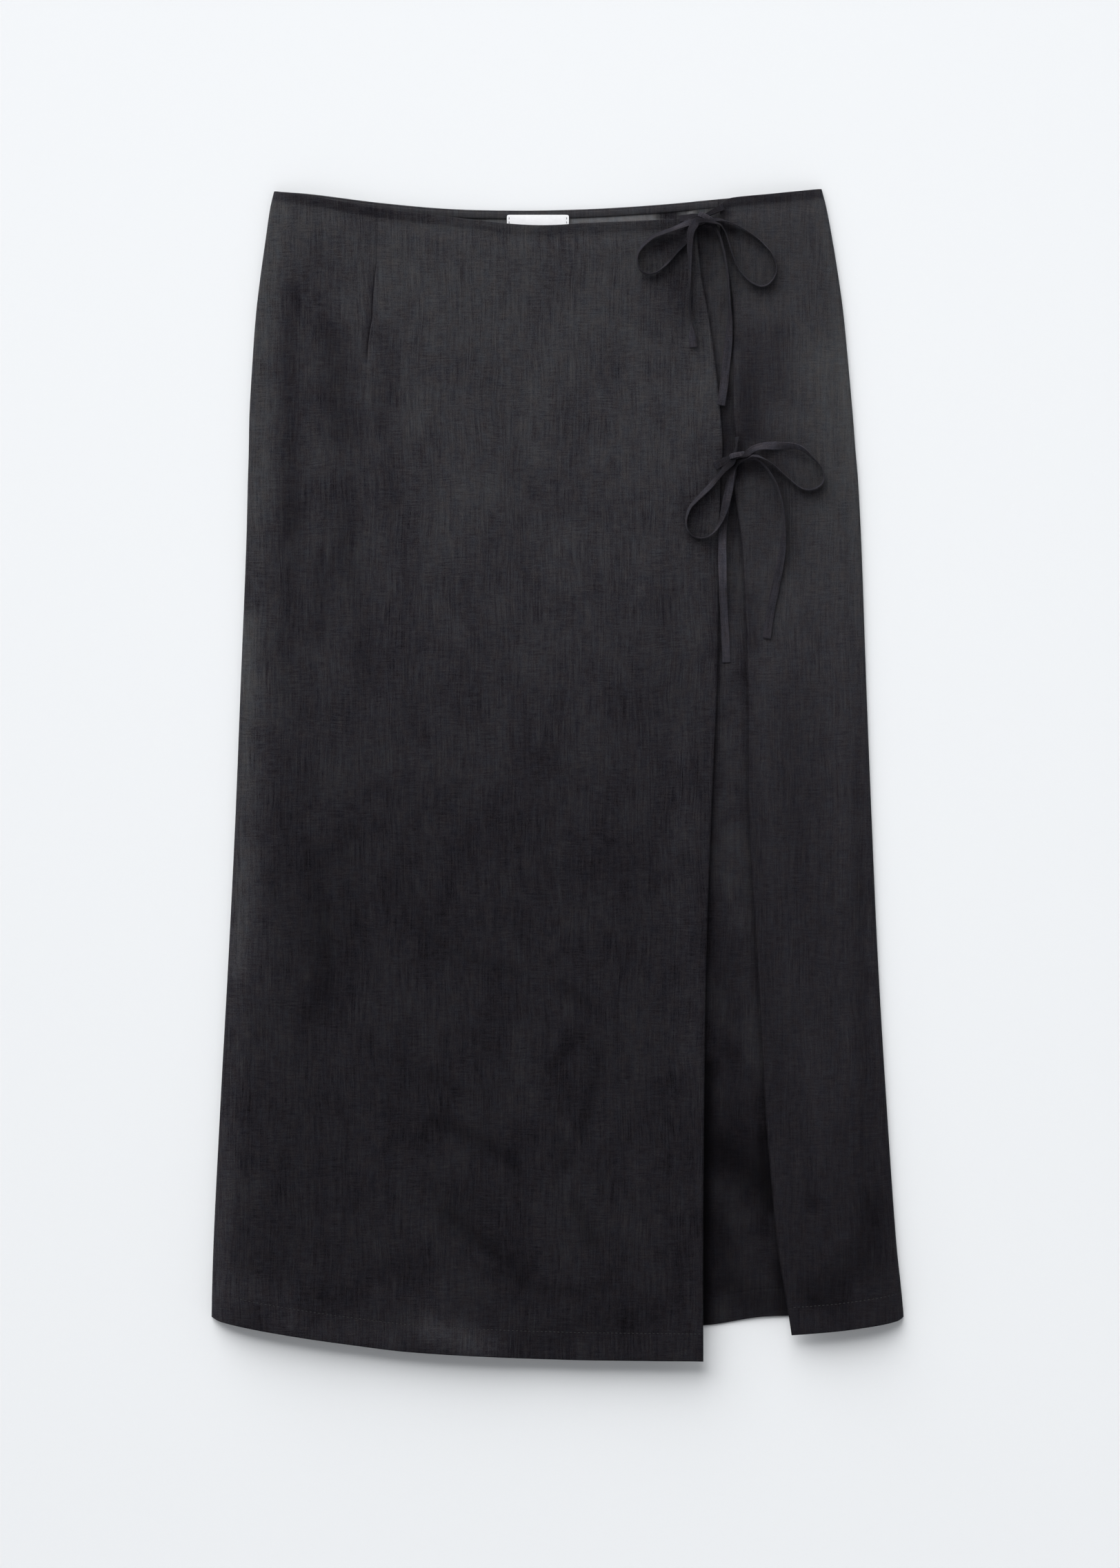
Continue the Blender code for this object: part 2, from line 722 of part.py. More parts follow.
def knot(size, laid_tapes, finish):
    """A knot, as one rounded lump with the tapes' bulk, level with the ends around it."""
    middle = Vector((size.x, size.y)) * MM
    ends = [
        tape.top
        for tape in laid_tapes
        if (Vector((tape.x, tape.y)) - middle).length < KNOT_CLEARANCE + ROUTE_STEP
    ]
    place = (middle.x, middle.y, sum(ends) / len(ends) - TIE_WIDTH / 2)
    bpy.ops.mesh.primitive_cube_add(size=1.0, location=place)
    lump = add_to_part(bpy.context.object, size.name, finish)
    lump.scale = (size.length * MM, size.width * MM, size.height * MM)
    lump.rotation_euler.z = math.radians(size.turn)
    round_off = lump.modifiers.new("round", "SUBSURF")
    round_off.levels = 2
    round_off.render_levels = 2
    lump.data.shade_smooth()
    return lump


def bows(finish):
    profile = tape_profile()
    laid_tapes = []
    for name, points in TIES:
        tie(name, points, profile, laid_tapes, finish)
    for size in KNOTS:
        knot(size, laid_tapes, finish)


def main():
    for obj in list(bpy.data.objects):
        bpy.data.objects.remove(obj)
    for name in (COLLECTION, "guides"):
        bpy.context.scene.collection.children.link(bpy.data.collections.new(name))
    linen = material("black_linen", LINEN)
    tie_linen = material("tie_linen", TIE_LINEN)
    panels(linen)
    waist_binding(linen)
    label(material("label_tape", WHITE_TAPE))
    bows(tie_linen)


main()
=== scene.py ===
"""Linen wrap skirt (sarong), laid flat: its cloth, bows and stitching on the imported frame.

A back panel lies under a wide front and a narrow front, which leave a slit
between them. Metres, +Z up, +Y towards the waist. The origin is on the
surface, under the middle of the skirt's outline.
"""

import json
import math
from collections import namedtuple
from contextlib import contextmanager

import bpy
import numpy as np
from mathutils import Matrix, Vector, noise

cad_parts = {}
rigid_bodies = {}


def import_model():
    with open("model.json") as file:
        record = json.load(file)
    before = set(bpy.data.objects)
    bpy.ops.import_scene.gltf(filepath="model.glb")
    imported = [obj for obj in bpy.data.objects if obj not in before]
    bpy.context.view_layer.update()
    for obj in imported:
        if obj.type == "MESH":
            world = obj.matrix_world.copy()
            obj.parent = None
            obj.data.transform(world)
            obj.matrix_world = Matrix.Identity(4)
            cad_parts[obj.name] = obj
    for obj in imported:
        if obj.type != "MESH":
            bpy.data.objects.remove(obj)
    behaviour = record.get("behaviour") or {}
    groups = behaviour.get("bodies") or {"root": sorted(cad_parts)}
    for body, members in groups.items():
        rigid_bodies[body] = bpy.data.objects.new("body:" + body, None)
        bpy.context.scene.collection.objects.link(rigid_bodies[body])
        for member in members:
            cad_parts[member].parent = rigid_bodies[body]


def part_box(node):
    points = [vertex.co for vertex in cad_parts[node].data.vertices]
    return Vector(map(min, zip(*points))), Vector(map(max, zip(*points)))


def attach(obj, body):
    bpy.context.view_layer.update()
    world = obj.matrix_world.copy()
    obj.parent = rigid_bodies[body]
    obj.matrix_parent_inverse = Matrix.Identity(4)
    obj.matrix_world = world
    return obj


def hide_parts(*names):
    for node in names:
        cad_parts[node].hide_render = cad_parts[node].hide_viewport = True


bl_info = {
    "name": "Linen wrap skirt",
    "version": (1, 0, 0),
    "blender": (4, 5, 0),
    "location": "3D view > Sidebar > Skirt",
    "description": "Makes a linen wrap skirt with its bows, label and stitching",
    "category": "Object",
}

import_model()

MM = 0.001
CAD_CLOTH = 1.2 * MM  # the frame's walls and clear spaces, which set the heights here
CAD_TAPE = 1.0 * MM
CAD_BINDING = 6.0 * MM  # how far down from the back waist the binding reaches
GAP = 0.3 * MM
FRONT_BASE = CAD_CLOTH + GAP + CAD_CLOTH  # a front's top where nothing lifts it

SIDE_ROLL = 9.0 * MM  # how far in from a side fold a front takes to rise
LIP_HEIGHT = 0.5 * MM  # the fronts' waist edges roll up by this much
LIP_REACH = 4.0 * MM
HOLLOW_DEPTH = 0.9 * MM  # the shaded hollow just below the rolled edge
HOLLOW_DROP = 10.0 * MM
HOLLOW_REACH = 5.0 * MM
LEAST_RISE = 0.15 * MM
PLACING_ROUNDS = 6  # a point's place along and across depend on each other

DART_FOOT = 0.295  # the dart's sewn line starts at this height
DART_SHARE = 0.2526  # its place across the wide front
DART_FADE = 10.0 * MM

SAMPLE = 1.0 * MM  # from one ring of a tie to the next
REST_REACH = 5  # rings on each side over which a tie's height is evened out
KNOT_CLEARANCE = 0.0052  # nearer than this to a knot's middle, a tie is inside it
USUAL_LIFT = 2  # tenths of a millimetre that a tie lies above what is under it

# --- tables ------------------------------------------------------------------

# Places and reaches in the tables' rows are in tenths of a millimetre, and named
# values are in metres.
TENTHS = 10000
MICRONS = 1000000
PERCENT = 100

Level = namedtuple("Level", "y left right wide_edge narrow_edge loft")
Edge = namedtuple("Edge", "x y")
Fold = namedtuple("Fold", "points reach height")
Point = namedtuple("Point", "x y lift turn")
Stretch = namedtuple("Stretch", "shade points")
Knot = namedtuple("Knot", "piece node x y length width height turn")

# A front's columns are fine at its marks (place, step). Its steps are the
# coarsest one and how fast they grow. The cloth lies loose beyond a distance
# from the side fold. The wave of its slit edge has a length, a seed and a reach.
Front = namedtuple(
    "Front",
    "name node sides hem waist folds creases shades width length marks steps"
    " loose crumple_seed ruffle_seed wave slit_shade",
)


def table(kind, *rows):
    """Rows of one kind, in metres."""
    return [kind(*(number / TENTHS for number in row)) for row in rows]


def strokes(unit, *rows):
    """Folds or strokes of shade, each from its reach, its height, and each point's x and y."""
    made = []
    for reach, height, *line in rows:
        points = [(x / TENTHS, y / TENTHS) for x, y in zip(line[::2], line[1::2])]
        made.append(Fold(points, reach / TENTHS, height / unit))
    return made


def stretch(shade, *rows):
    """A stretch of a tie: its painted shade in percent, making it lighter or darker as a whole, and each
    point's x, y, turn in degrees and lift.
    """
    points = []
    for x, y, turn, *lift in rows:
        lift = lift[0] if lift else USUAL_LIFT
        points.append(Point(x / TENTHS, y / TENTHS, lift / TENTHS, turn))
    return Stretch(shade / PERCENT, points)


# The skirt from hem to waist: the side folds, the two edges of the slit and
# how far the fronts stand off the back.
LEVELS = table(
    Level,
    (-4250, -2513, 2513, 1055, 1720, 120), (-3940, -2513, 2513, 1055, 1675, 112),
    (-3380, -2498, 2458, 1055, 1588, 92), (-2380, -2448, 2388, 1063, 1503, 64),
    (-1380, -2393, 2328, 1078, 1448, 44), (-380, -2343, 2283, 1112, 1388, 30),
    (620, -2303, 2243, 1156, 1378, 23), (1620, -2263, 2208, 1173, 1338, 21),
    (2120, -2250, 2183, 1183, 1275, 21), (2360, -2243, 2163, 1198, 1298, 21),
    (2620, -2238, 2143, 1183, 1273, 21), (3120, -2208, 2098, 1128, 1273, 22),
    (3370, -2188, 2073, 1088, 1273, 23), (3620, -2158, 2038, 1043, 1240, 24),
    (3870, -2123, 1998, 1013, 1185, 26), (4110, -2088, 1953, 1008, 1178, 27),
    (4250, -2055, 1918, 1006, 1185, 27),
)

# Waist and hem edges from left to right, and the dart from its foot up.
BACK_WAIST = table(
    Edge,
    (-2060, 4234), (-1790, 4213), (-1290, 4150), (-790, 4106), (-290, 4094), (210, 4104), (710, 4134),
    (1210, 4180), (1920, 4250),
)
BACK_HEM = table(
    Edge,
    (-2520, -3940), (-1500, -4010), (0, -4035), (1070, -4000), (1520, -3936), (2520, -3935),
)
DART = table(
    Edge,
    (-1378, 2950), (-1374, 3090), (-1360, 3220), (-1342, 3315), (-1339, 3410), (-1328, 3570), (-1313, 3700),
    (-1308, 3800), (-1298, 4110),
)

# Folds and creases are soft ridges (height above 0) or troughs (below 0), in
# microns. Shades are strokes that lighten or darken the cloth, in percent: painted
# shadows under the bows and in the slit, painted light and shade of folds, sides
# and the waist, and some uneven tone of the cloth itself. Each fades over about
# twice its reach.
EDGE_STEP = 0.00035  # the finest step of a front's columns
WIDE = Front(
    name="wide_front_cloth",
    node="wide_front",
    sides=("left", "wide_edge"),
    width=0.3468,
    length=0.8245,
    marks=((DART_SHARE * 0.3468, EDGE_STEP), (0.3218, 0.0013)),
    steps=(0.0037, 0.16),
    loose=0.020,
    crumple_seed=1.0,
    ruffle_seed=17.0,
    wave=(0.055, 31.0, 0.014),
    slit_shade=0.45,
    hem=table(
        Edge,
        (-2520, -3936), (-2440, -3970), (-2040, -4050), (-1540, -4125), (-1040, -4185), (-40, -4235),
        (1060, -4250),
    ),
    waist=table(
        Edge,
        (-2060, 4234), (-1790, 4194), (-1290, 4106), (-790, 4045), (-370, 3996), (-90, 3983), (210, 3999),
        (710, 4020), (1020, 4036),
    ),
    folds=strokes(
        MICRONS,
        (160, -900, -1770, 3910, -1340, 610), (120, 500, -1270, 3450, -1290, 2950),
        (180, -1100, -1840, -380, -1650, -1900), (300, 500, -600, 2500, -200, -600),
        (260, 500, 400, 1200, 600, -2000), (140, 600, 300, -2600, 100, -3300),
        (120, 600, -400, -3560, 310, -3660), (120, -900, -140, -4110, 760, -3930),
        (140, 600, -950, -4050, -500, -4150),
    ),
    creases=strokes(
        MICRONS,
        (35, 550, 160, -2480, 60, -2700, -20, -2910), (45, 600, 360, -2680, 290, -2980, 210, -3340),
        (40, 700, -540, -3530, -240, -3660, 110, -3700, 310, -3660),
        (50, -500, -500, -3620, -220, -3740, 140, -3780),
        (90, -600, -1600, -600, -1720, -1200, -1660, -1800),
        (80, 400, -1960, 1200, -1990, 200, -2060, -800), (70, 400, -1000, 1900, -1040, 800, -920, -200),
        (80, 400, 600, 3000, 700, 2100, 640, 1300), (90, -400, -200, 3300, -140, 2400),
        (70, -400, 920, 600, 860, -500, 940, -1500), (80, 400, -1200, -2200, -1280, -3000, -1180, -3500),
        (90, -500, -1900, -2600, -1860, -3400), (70, 500, 600, -2500, 740, -3100, 700, -3600),
        (80, 400, -500, -1400, -600, -2300),
    ),
    shades=strokes(
        PERCENT,
        (100, -44, -1920, 3520, -1940, 3000, -1950, 2500, -1940, 1800),
        (100, -20, -1930, 1900, -1950, 1100, -1980, 600), (95, -20, -1760, 3800, -1690, 3360, -1600, 3100),
        (130, -36, -1700, 3200, -1630, 2900, -1600, 2500), (400, -18, -1600, 2750, -1580, 1500),
        (100, -17, -1540, 2600, -1520, 2000, -1480, 1400, -1400, 700),
        (90, -22, -1280, 3180, -1240, 2900, -1260, 2550), (100, -16, -1240, 2350, -1220, 1950),
        (90, -20, -1720, 1500, -1750, 1000), (100, -28, -1750, -600, -1730, -1500, -1760, -1700),
        (90, -18, -1540, -400, -1520, -1300), (90, 28, -2150, 700, -2140, -500, -2160, -1600),
        (140, 14, -600, 3700, -520, 3400), (100, -34, 860, 3760, 910, 3400),
        (75, 50, 1030, 3895, 1050, 3790), (120, -20, 660, 3450, 700, 3220),
        (85, 62, -2255, 1100, -2275, -200, -2310, -1400), (130, 24, 900, 200, 900, -800, 940, -2100),
        (160, -12, 780, 1200, 760, 500), (60, -28, -1680, -970, -1650, -1600),
        (120, -14, -1180, -800, -900, -1120), (60, -22, -720, -1280, -360, -1420),
        (50, -34, 30, -1520, 220, -1660), (40, -28, 170, -1860, -50, -2120),
        (60, -26, -940, -2170, -680, -2300), (45, -26, 330, -1970, 220, -2400, 160, -2620),
        (60, -38, -880, -2510, -600, -2620, -340, -2790), (60, -30, 20, -2640, 80, -2830),
        (60, -34, 120, -3100, 250, -3370), (70, -42, -810, -3170, -540, -3380, -240, -3620),
        (80, -20, -900, -3000, -600, -3120), (120, -12, -540, 2280, 0, 2000, 600, 1850),
        (100, -12, -140, -4110, 760, -3930), (110, 115, -920, -4020, -520, -4140),
        (70, 36, -950, 4015, -500, 4010, -180, 3985), (100, -20, -1545, 3160, -1540, 2840),
        (100, -14, -1545, 1760, -1540, 1500), (160, 12, -2200, -600, -2220, -3700),
        (100, 45, -2050, -3990, -1200, -4080), (140, 38, -2350, -3720, -1950, -3820),
        (120, 28, -1320, -3760, -880, -3780), (50, -55, 963, 3945, 882, 3900, 788, 3860, 713, 3810),
        (30, -50, 912, 3795, 943, 3835), (25, -35, 628, 3595, 688, 3590, 757, 3620),
        (20, -35, 983, 3915, 983, 3715), (55, -36, 1227, 2185, 1158, 2105, 1087, 1965, 1028, 1885),
        (55, -32, 1150, 1650, 1165, 1150, 1145, 900), (20, -35, 1207, 2165, 1192, 2040),
        (15, -30, 958, 1735, 1022, 1695), (20, -20, 1172, 2365, 1247, 2275),
    ),
)
NARROW = Front(
    name="narrow_front_cloth",
    node="narrow_front",
    sides=("narrow_edge", "right"),
    width=0.0860,
    length=0.8220,
    marks=((0.032, 0.0013),),
    steps=(0.0026, 0.17),
    loose=0.016,
    crumple_seed=2.0,
    ruffle_seed=19.0,
    wave=(0.050, 37.0, 0.012),
    slit_shade=0.65,
    hem=table(Edge, (1660, -4063), (1960, -4040), (2210, -4010), (2460, -3966), (2520, -3936)),
    waist=table(Edge, (1170, 4120), (1220, 4166), (1280, 4185), (1560, 4212), (1920, 4250)),
    folds=strokes(
        MICRONS,
        (90, 800, 2090, 860, 2110, -880), (120, 500, 1600, 3300, 1750, 1200),
        (120, 600, 2270, -3000, 1960, -3520), (120, -700, 2140, -3300, 2050, -3850),
    ),
    creases=strokes(
        MICRONS,
        (50, -600, 1840, -3040, 1870, -3160), (60, -600, 1840, -3760, 1880, -3860),
        (40, 600, 2260, -2980, 2160, -3320, 1980, -3480, 1880, -3620),
        (70, 400, 1500, 400, 1560, -600, 1600, -1600), (80, -400, 1860, 2000, 1900, 1000),
        (80, 400, 1760, -1200, 1860, -2200),
    ),
    shades=strokes(
        PERCENT,
        (260, 32, 1980, 3000, 2060, 600, 2060, -1000, 2060, -2300), (200, -14, 1340, 3200, 1400, 2450),
        (180, 24, 1620, 1350, 1640, 900), (120, -34, 1400, 3150, 1410, 2500),
        (80, -20, 1610, 2250, 1630, 2000), (110, -26, 1330, 2800, 1370, 2450),
        (100, 26, 1480, 1150, 1500, 500, 1550, -400), (80, -24, 1405, 1280, 1410, 950),
        (100, -30, 1600, 3180, 1610, 2780), (200, 10, 1700, -500, 1780, -3000),
        (50, -16, 2195, -880, 2215, -3100), (100, 20, 1600, -600, 1660, -1500),
        (120, -30, 1840, -3750, 1990, -3820), (45, -50, 1850, -3800, 1870, -3820),
        (45, -42, 1845, -3090, 1855, -3120), (120, -32, 2300, -3150, 2250, -3500, 2000, -3700),
        (80, 14, 1850, -2000, 1900, -2800), (60, 10, 2080, 860, 2090, -880),
        (50, -14, 2190, 860, 2200, -880), (42, -72, 1187, 3985, 1268, 3945),
        (25, -25, 1268, 3945, 1383, 3885, 1482, 3805), (20, -35, 1187, 3935, 1227, 3825, 1268, 3705),
        (25, -40, 1407, 3535, 1477, 3500, 1557, 3545), (25, -35, 1187, 4075, 1247, 4070),
        (45, -80, 1288, 2255, 1300, 2165), (45, -45, 1320, 2240, 1370, 2210),
        (60, -35, 1308, 2260, 1398, 2250, 1477, 2205), (20, -30, 1417, 2290, 1497, 2260, 1568, 2205),
        (30, -22, 1457, 2320, 1557, 2325, 1718, 2325, 1807, 2280),
        (25, -35, 1757, 2050, 1832, 2030, 1908, 2060), (35, -40, 1318, 2455, 1323, 2345),
        (15, -30, 1288, 2040, 1318, 1740),
    ),
)
BACK_SHADES = strokes(
    PERCENT,
    (50, 160, 100, 4030, 690, 4045), (40, 80, -480, 4010, -380, 4005), (40, 120, 900, 4070, 960, 4070),
    (40, 100, 1000, 4075, 1070, 4080), (40, -50, 745, 4060, 860, 4060), (60, -60, 1035, 3990, 1075, 3930),
    (50, -40, 1100, 3970, 1150, 3900), (100, -50, 1215, 2780, 1245, 2400),
    (50, -40, 1270, 2100, 1265, 1750), (50, -30, 1250, 2500, 1262, 2360),
    (80, 28, 1340, -1000, 1380, -1500, 1410, -2100), (140, 32, 1255, 850, 1280, 0, 1270, -1100),
    (55, -80, 1100, -2100, 1080, -2700, 1070, -4000), (60, -62, 1480, -2620, 1500, -2850, 1535, -3150),
    (100, -15, 1200, -3380, 1400, -3420), (200, -66, 1180, -2700, 1450, -2950),
    (100, -40, 1180, -3250, 1220, -3650), (50, -50, 1600, -3550, 1640, -3900),
    (140, -35, 1300, -3750, 1500, -3850), (60, 15, 1460, -3340, 1360, -3480),
)
BINDING_SHADES = strokes(PERCENT, (200, 15, -1000, 4090, -100, 4060))
# Painted light and shade on the ties: darker where they lie in shade near the knots, lighter where they lie
# flat in the light.
TIE_PAINTED_SHADES = strokes(
    PERCENT,
    (45, -50, 1258, 2255, 1158, 2155), (65, 75, 1480, 2385, 1735, 2380), (40, -30, 1810, 2090, 1830, 2065),
    (35, -45, 1520, 2275, 1550, 2240), (25, 30, 1480, 2255, 1560, 2150), (70, 45, 1198, 1650, 1198, 1440),
    (35, -50, 830, 3745, 905, 3840), (80, 22, 1235, 3150, 1228, 2950), (70, 40, 975, 3220, 985, 3095),
    (40, -30, 1060, 2270, 1180, 2280), (25, -45, 1190, 3975, 1215, 3955), (45, -34, 1188, 1840, 1220, 1925),
    (40, 55, 875, 3965, 950, 3992), (50, -26, 1627, 1960, 1643, 1820, 1640, 1700),
    (50, -10, 1628, 1600, 1550, 1200), (40, -30, 970, 1735, 990, 1725), (60, -24, 1233, 3300, 1233, 3220),
    (40, 60, 1490, 3870, 1500, 3840),
)

# The stretches of the ties, in the order they are laid on each other.
STRETCHES = {
    "waist_lead_left": stretch(
        72,
        (880, 4027, 150), (943, 4035, 145, 3), (1008, 4042, 140, 3),
    ),
    "waist_lead_right": stretch(
        60,
        (1202, 4113, 30), (1163, 4093, 40), (1115, 4068, 40, 3),
    ),
    "waist_loop_left": stretch(
        115,
        (1008, 4017, 10, 4), (975, 4005, 18, 6), (932, 3987, 35, 9), (885, 3967, 52, 9), (825, 3945, 56, 6),
        (752, 3920, 57, 4), (693, 3895, 59, 3), (643, 3855, 63), (605, 3815, 70), (583, 3775, 78),
        (576, 3730, 84), (585, 3683, 86), (612, 3643, 84), (658, 3623, 84), (707, 3633, 88),
        (745, 3658, 96), (788, 3698, 106), (825, 3743, 114), (862, 3790, 120), (900, 3835, 132),
        (932, 3875, 150), (958, 3917, 165), (983, 3965, 172),
    ),
    "waist_tail_left": stretch(
        120,
        (1017, 4005, 10), (990, 3972, 12), (970, 3940, 20), (960, 3900, 32), (958, 3855, 46),
        (956, 3800, 54), (958, 3745, 62), (959, 3685, 72), (961, 3625, 82), (961, 3565, 88),
        (959, 3505, 94), (956, 3445, 104), (956, 3390, 110), (961, 3335, 104), (968, 3275, 92),
        (973, 3215, 60, 1), (978, 3160, 28, 0), (985, 3095, 6, 0),
    ),
    "waist_tail_right": stretch(
        128,
        (1113, 3995, 40), (1145, 3957, 66), (1170, 3912, 80), (1185, 3867, 81), (1197, 3820, 81),
        (1210, 3765, 81), (1220, 3710, 81), (1229, 3650, 81), (1235, 3590, 80), (1240, 3515, 79),
        (1244, 3445, 76), (1247, 3375, 68), (1249, 3305, 55), (1246, 3235, 40, 3), (1241, 3155, 24, 4),
        (1232, 3055, 10, 6), (1221, 2945, 2, 8), (1209, 2835, 0, 10), (1195, 2745, 0, 10),
        (1185, 2675, 0, 10),
    ),
    "waist_loop_right": stretch(
        120,
        (1143, 4017, 130, 6), (1177, 4017, 110, 9), (1222, 4005, 98, 12), (1268, 3990, 98, 9),
        (1325, 3964, 98, 6), (1383, 3930, 98, 4), (1442, 3890, 98, 3), (1492, 3846, 97), (1537, 3795, 96),
        (1568, 3743, 95), (1585, 3685, 92), (1583, 3633, 88), (1560, 3586, 82), (1522, 3550, 78),
        (1477, 3538, 76), (1427, 3553, 76), (1383, 3583, 77), (1340, 3626, 79), (1310, 3670, 80),
        (1280, 3736, 81), (1255, 3810, 82), (1230, 3890, 82), (1202, 3950, 80), (1158, 3992, 60),
    ),
    "hip_lead_left": stretch(
        95,
        (1138, 2233, 0), (1192, 2263, -20, 3), (1247, 2289, -45, 4),
    ),
    "hip_lead_right": stretch(
        68,
        (1300, 2445, 60), (1298, 2405, 74, 3), (1295, 2365, 76, 4),
    ),
    "hip_tail_left": stretch(
        145,
        (1285, 2245, 20), (1265, 2170, 12), (1245, 2075, 5), (1222, 1965, 0), (1205, 1865, 0),
        (1197, 1765, 0), (1195, 1665, 0), (1195, 1555, 0), (1197, 1435, 0), (1201, 1310, 0),
        (1207, 1185, 0), (1214, 1055, 0), (1221, 930, 0), (1225, 810, 0),
    ),
    "hip_tail_right": stretch(
        110,
        (1348, 2293, 20), (1383, 2295, 50, 3), (1417, 2293, 72, 4), (1452, 2280, 82, 4),
        (1489, 2248, 82, 3), (1524, 2205, 82), (1552, 2162, 82), (1580, 2112, 83), (1601, 2062, 83),
        (1615, 2013, 83), (1629, 1955, 83), (1639, 1888, 81), (1643, 1820, 71), (1641, 1755, 60),
        (1636, 1685, 49), (1628, 1615, 37), (1616, 1545, 23), (1603, 1470, 10), (1586, 1390, 3),
        (1570, 1310, 8, 1), (1550, 1215, 0, 0), (1531, 1100, 0, 0), (1516, 985, 0),
    ),
    "hip_loop_left": stretch(
        110,
        (1270, 2275, 15, 3), (1237, 2238, 32, 6), (1202, 2203, 46, 8), (1168, 2162, 50, 7),
        (1133, 2121, 50, 5), (1098, 2080, 50, 3), (1047, 2030, 56), (998, 1980, 62), (964, 1940, 68),
        (943, 1895, 75), (932, 1845, 82), (934, 1797, 85), (951, 1755, 86), (985, 1725, 86),
        (1027, 1712, 87), (1075, 1717, 90), (1118, 1740, 94), (1154, 1780, 102), (1187, 1840, 116, 3),
        (1215, 1915, 128, 4), (1232, 1988, 136, 4), (1246, 2057, 138, 4), (1254, 2125, 140, 3),
        (1260, 2185, 152), (1275, 2235, 165),
    ),
    "hip_loop_right": stretch(
        105,
        (1363, 2315, -30, 12), (1398, 2342, -35, 12), (1440, 2364, -35, 10), (1487, 2376, -28, 8),
        (1537, 2381, -10, 6), (1608, 2381, 22, 4), (1678, 2381, 42, 3), (1732, 2375, 54), (1777, 2357, 66),
        (1812, 2330, 76), (1847, 2295, 84), (1883, 2260, 88), (1913, 2223, 90), (1930, 2175, 90),
        (1928, 2130, 88), (1908, 2097, 84), (1872, 2074, 80), (1825, 2062, 78), (1775, 2071, 79),
        (1727, 2100, 82), (1678, 2142, 83), (1629, 2185, 84), (1580, 2230, 84, 3), (1530, 2265, 84, 5),
        (1482, 2289, 80, 6), (1440, 2304, 70, 6), (1388, 2310, 40, 4),
    ),
}

# Each tie goes from its seam through the knot, round a loop on the far side,
# back through the knot and down its tail.
TIES = {
    "waist_tie_left": ("waist_lead_left", "waist_loop_right", "waist_tail_left"),
    "waist_tie_right": ("waist_lead_right", "waist_loop_left", "waist_tail_right"),
    "hip_tie_left": ("hip_lead_left", "hip_loop_right", "hip_tail_left"),
    "hip_tie_right": ("hip_lead_right", "hip_loop_left", "hip_tail_right"),
}
# How much of a tie's tail lies pressed onto the cloth from its end, in metres.
PRESSED_FLAT = {"hip_tie_right": 0.085, "waist_tie_left": 0.035}
# Knots, in metres: middle, length along the turn, width and height. The turn in
# plan is in degrees.
KNOTS = (
    Knot("waist_bow_knot", "waist_knot", 0.1073, 0.4031, 0.0115, 0.0046, 0.0050, -27),
    Knot("hip_bow_knot", "hip_knot", 0.1303, 0.2308, 0.0115, 0.0042, 0.0048, 11),
)
# Half of a tape's cross-section, from its left edge to its right, over the top,
# in percent of half its width and of half its wall.
TAPE_TOP = (
    (-100, 0), (-97, 62), (-88, 98), (-76, 90), (-68, 62), (-60, 88), (-30, 96), (10, 94),
    (55, 97), (86, 100), (97, 66),
)


# --- settings ----------------------------------------------------------------


def length_setting(name, description, default):
    return bpy.props.FloatProperty(
        name=name, description=description, default=default, min=0.0, unit="LENGTH", precision=5
    )


def colour_setting(name, description, default):
    return bpy.props.FloatVectorProperty(
        name=name, description=description, default=default, subtype="COLOR", size=3, min=0, max=1
    )


class SkirtSizes(bpy.types.PropertyGroup):
    """Sizes that a maker would change."""

    cloth: length_setting("Cloth", "Thickness of one layer of linen", 0.0008)
    doubled: length_setting("Doubled cloth", "Thickness where the linen is turned", 0.0014)
    hem_turn: length_setting("Hem", "Depth of the turned hem", 0.020)
    waist_band: length_setting("Waist band", "Depth of the facing under a front's waist", 0.0068)
    side_edge: length_setting("Side fold", "How far a front rolls down at its side", 0.0024)
    binding: length_setting("Binding", "Depth of the binding on the back waist", 0.0060)
    tape: length_setting("Tape width", "Width of the tie tape", 0.0060)
    tape_wall: length_setting("Tape thickness", "Thickness of the tie tape", 0.0007)
    stitch: length_setting("Stitch", "Length of one stitch", 0.0019)
    stitch_pitch: length_setting("Stitch pitch", "From one stitch to the next", 0.0030)


class SkirtColours(bpy.types.PropertyGroup):
    """Colours of the cloth, tapes and surface."""

    linen: colour_setting("Linen", "Charcoal linen of the panels", (0.01049, 0.00967, 0.01176))
    lit: colour_setting("Lit linen", "The linen where light comes through", (0.01022, 0.01035, 0.01078))
    tie: colour_setting("Tie tape", "Linen tape of the bows", (0.0208, 0.0198, 0.0237))
    label: colour_setting("Label", "White label tape", (0.88, 0.88, 0.90))
    thread: colour_setting("Thread", "Sewing thread", (0.0085, 0.0082, 0.0095))
    surface: colour_setting("Surface", "Pale surface under the skirt", (0.845, 0.86, 0.875))


def sizes():
    return bpy.context.scene.skirt_sizes


def colours():
    return bpy.context.scene.skirt_colours


# --- smooth values -----------------------------------------------------------


def column(rows, key, name, at):
    """A column's smooth value where the key column reaches each place."""
    places = np.array([getattr(row, key) for row in rows])
    values = np.array([getattr(row, name) for row in rows])
    at = np.clip(at, places[0], places[-1])
    i = np.clip(np.searchsorted(places, at, side="right") - 1, 0, len(rows) - 2)
    low = np.maximum(np.arange(len(rows)) - 1, 0)
    high = np.minimum(np.arange(len(rows)) + 1, len(rows) - 1)
    slopes = (values[high] - values[low]) / (places[high] - places[low])
    span = places[i + 1] - places[i]
    t = (at - places[i]) / span
    return (
        values[i] * (2 * t**3 - 3 * t**2 + 1)
        + slopes[i] * span * (t**3 - 2 * t**2 + t)
        + values[i + 1] * (3 * t**2 - 2 * t**3)
        + slopes[i + 1] * span * (t**3 - t**2)
    )


def level(name, y):
    return column(LEVELS, "y", name, y)


def edge(rows, x):
    return column(rows, "x", "y", x)


def smooth(share):
    """Eases from 0 to 1."""
    share = np.clip(share, 0.0, 1.0)
    return share * share * (3 - 2 * share)


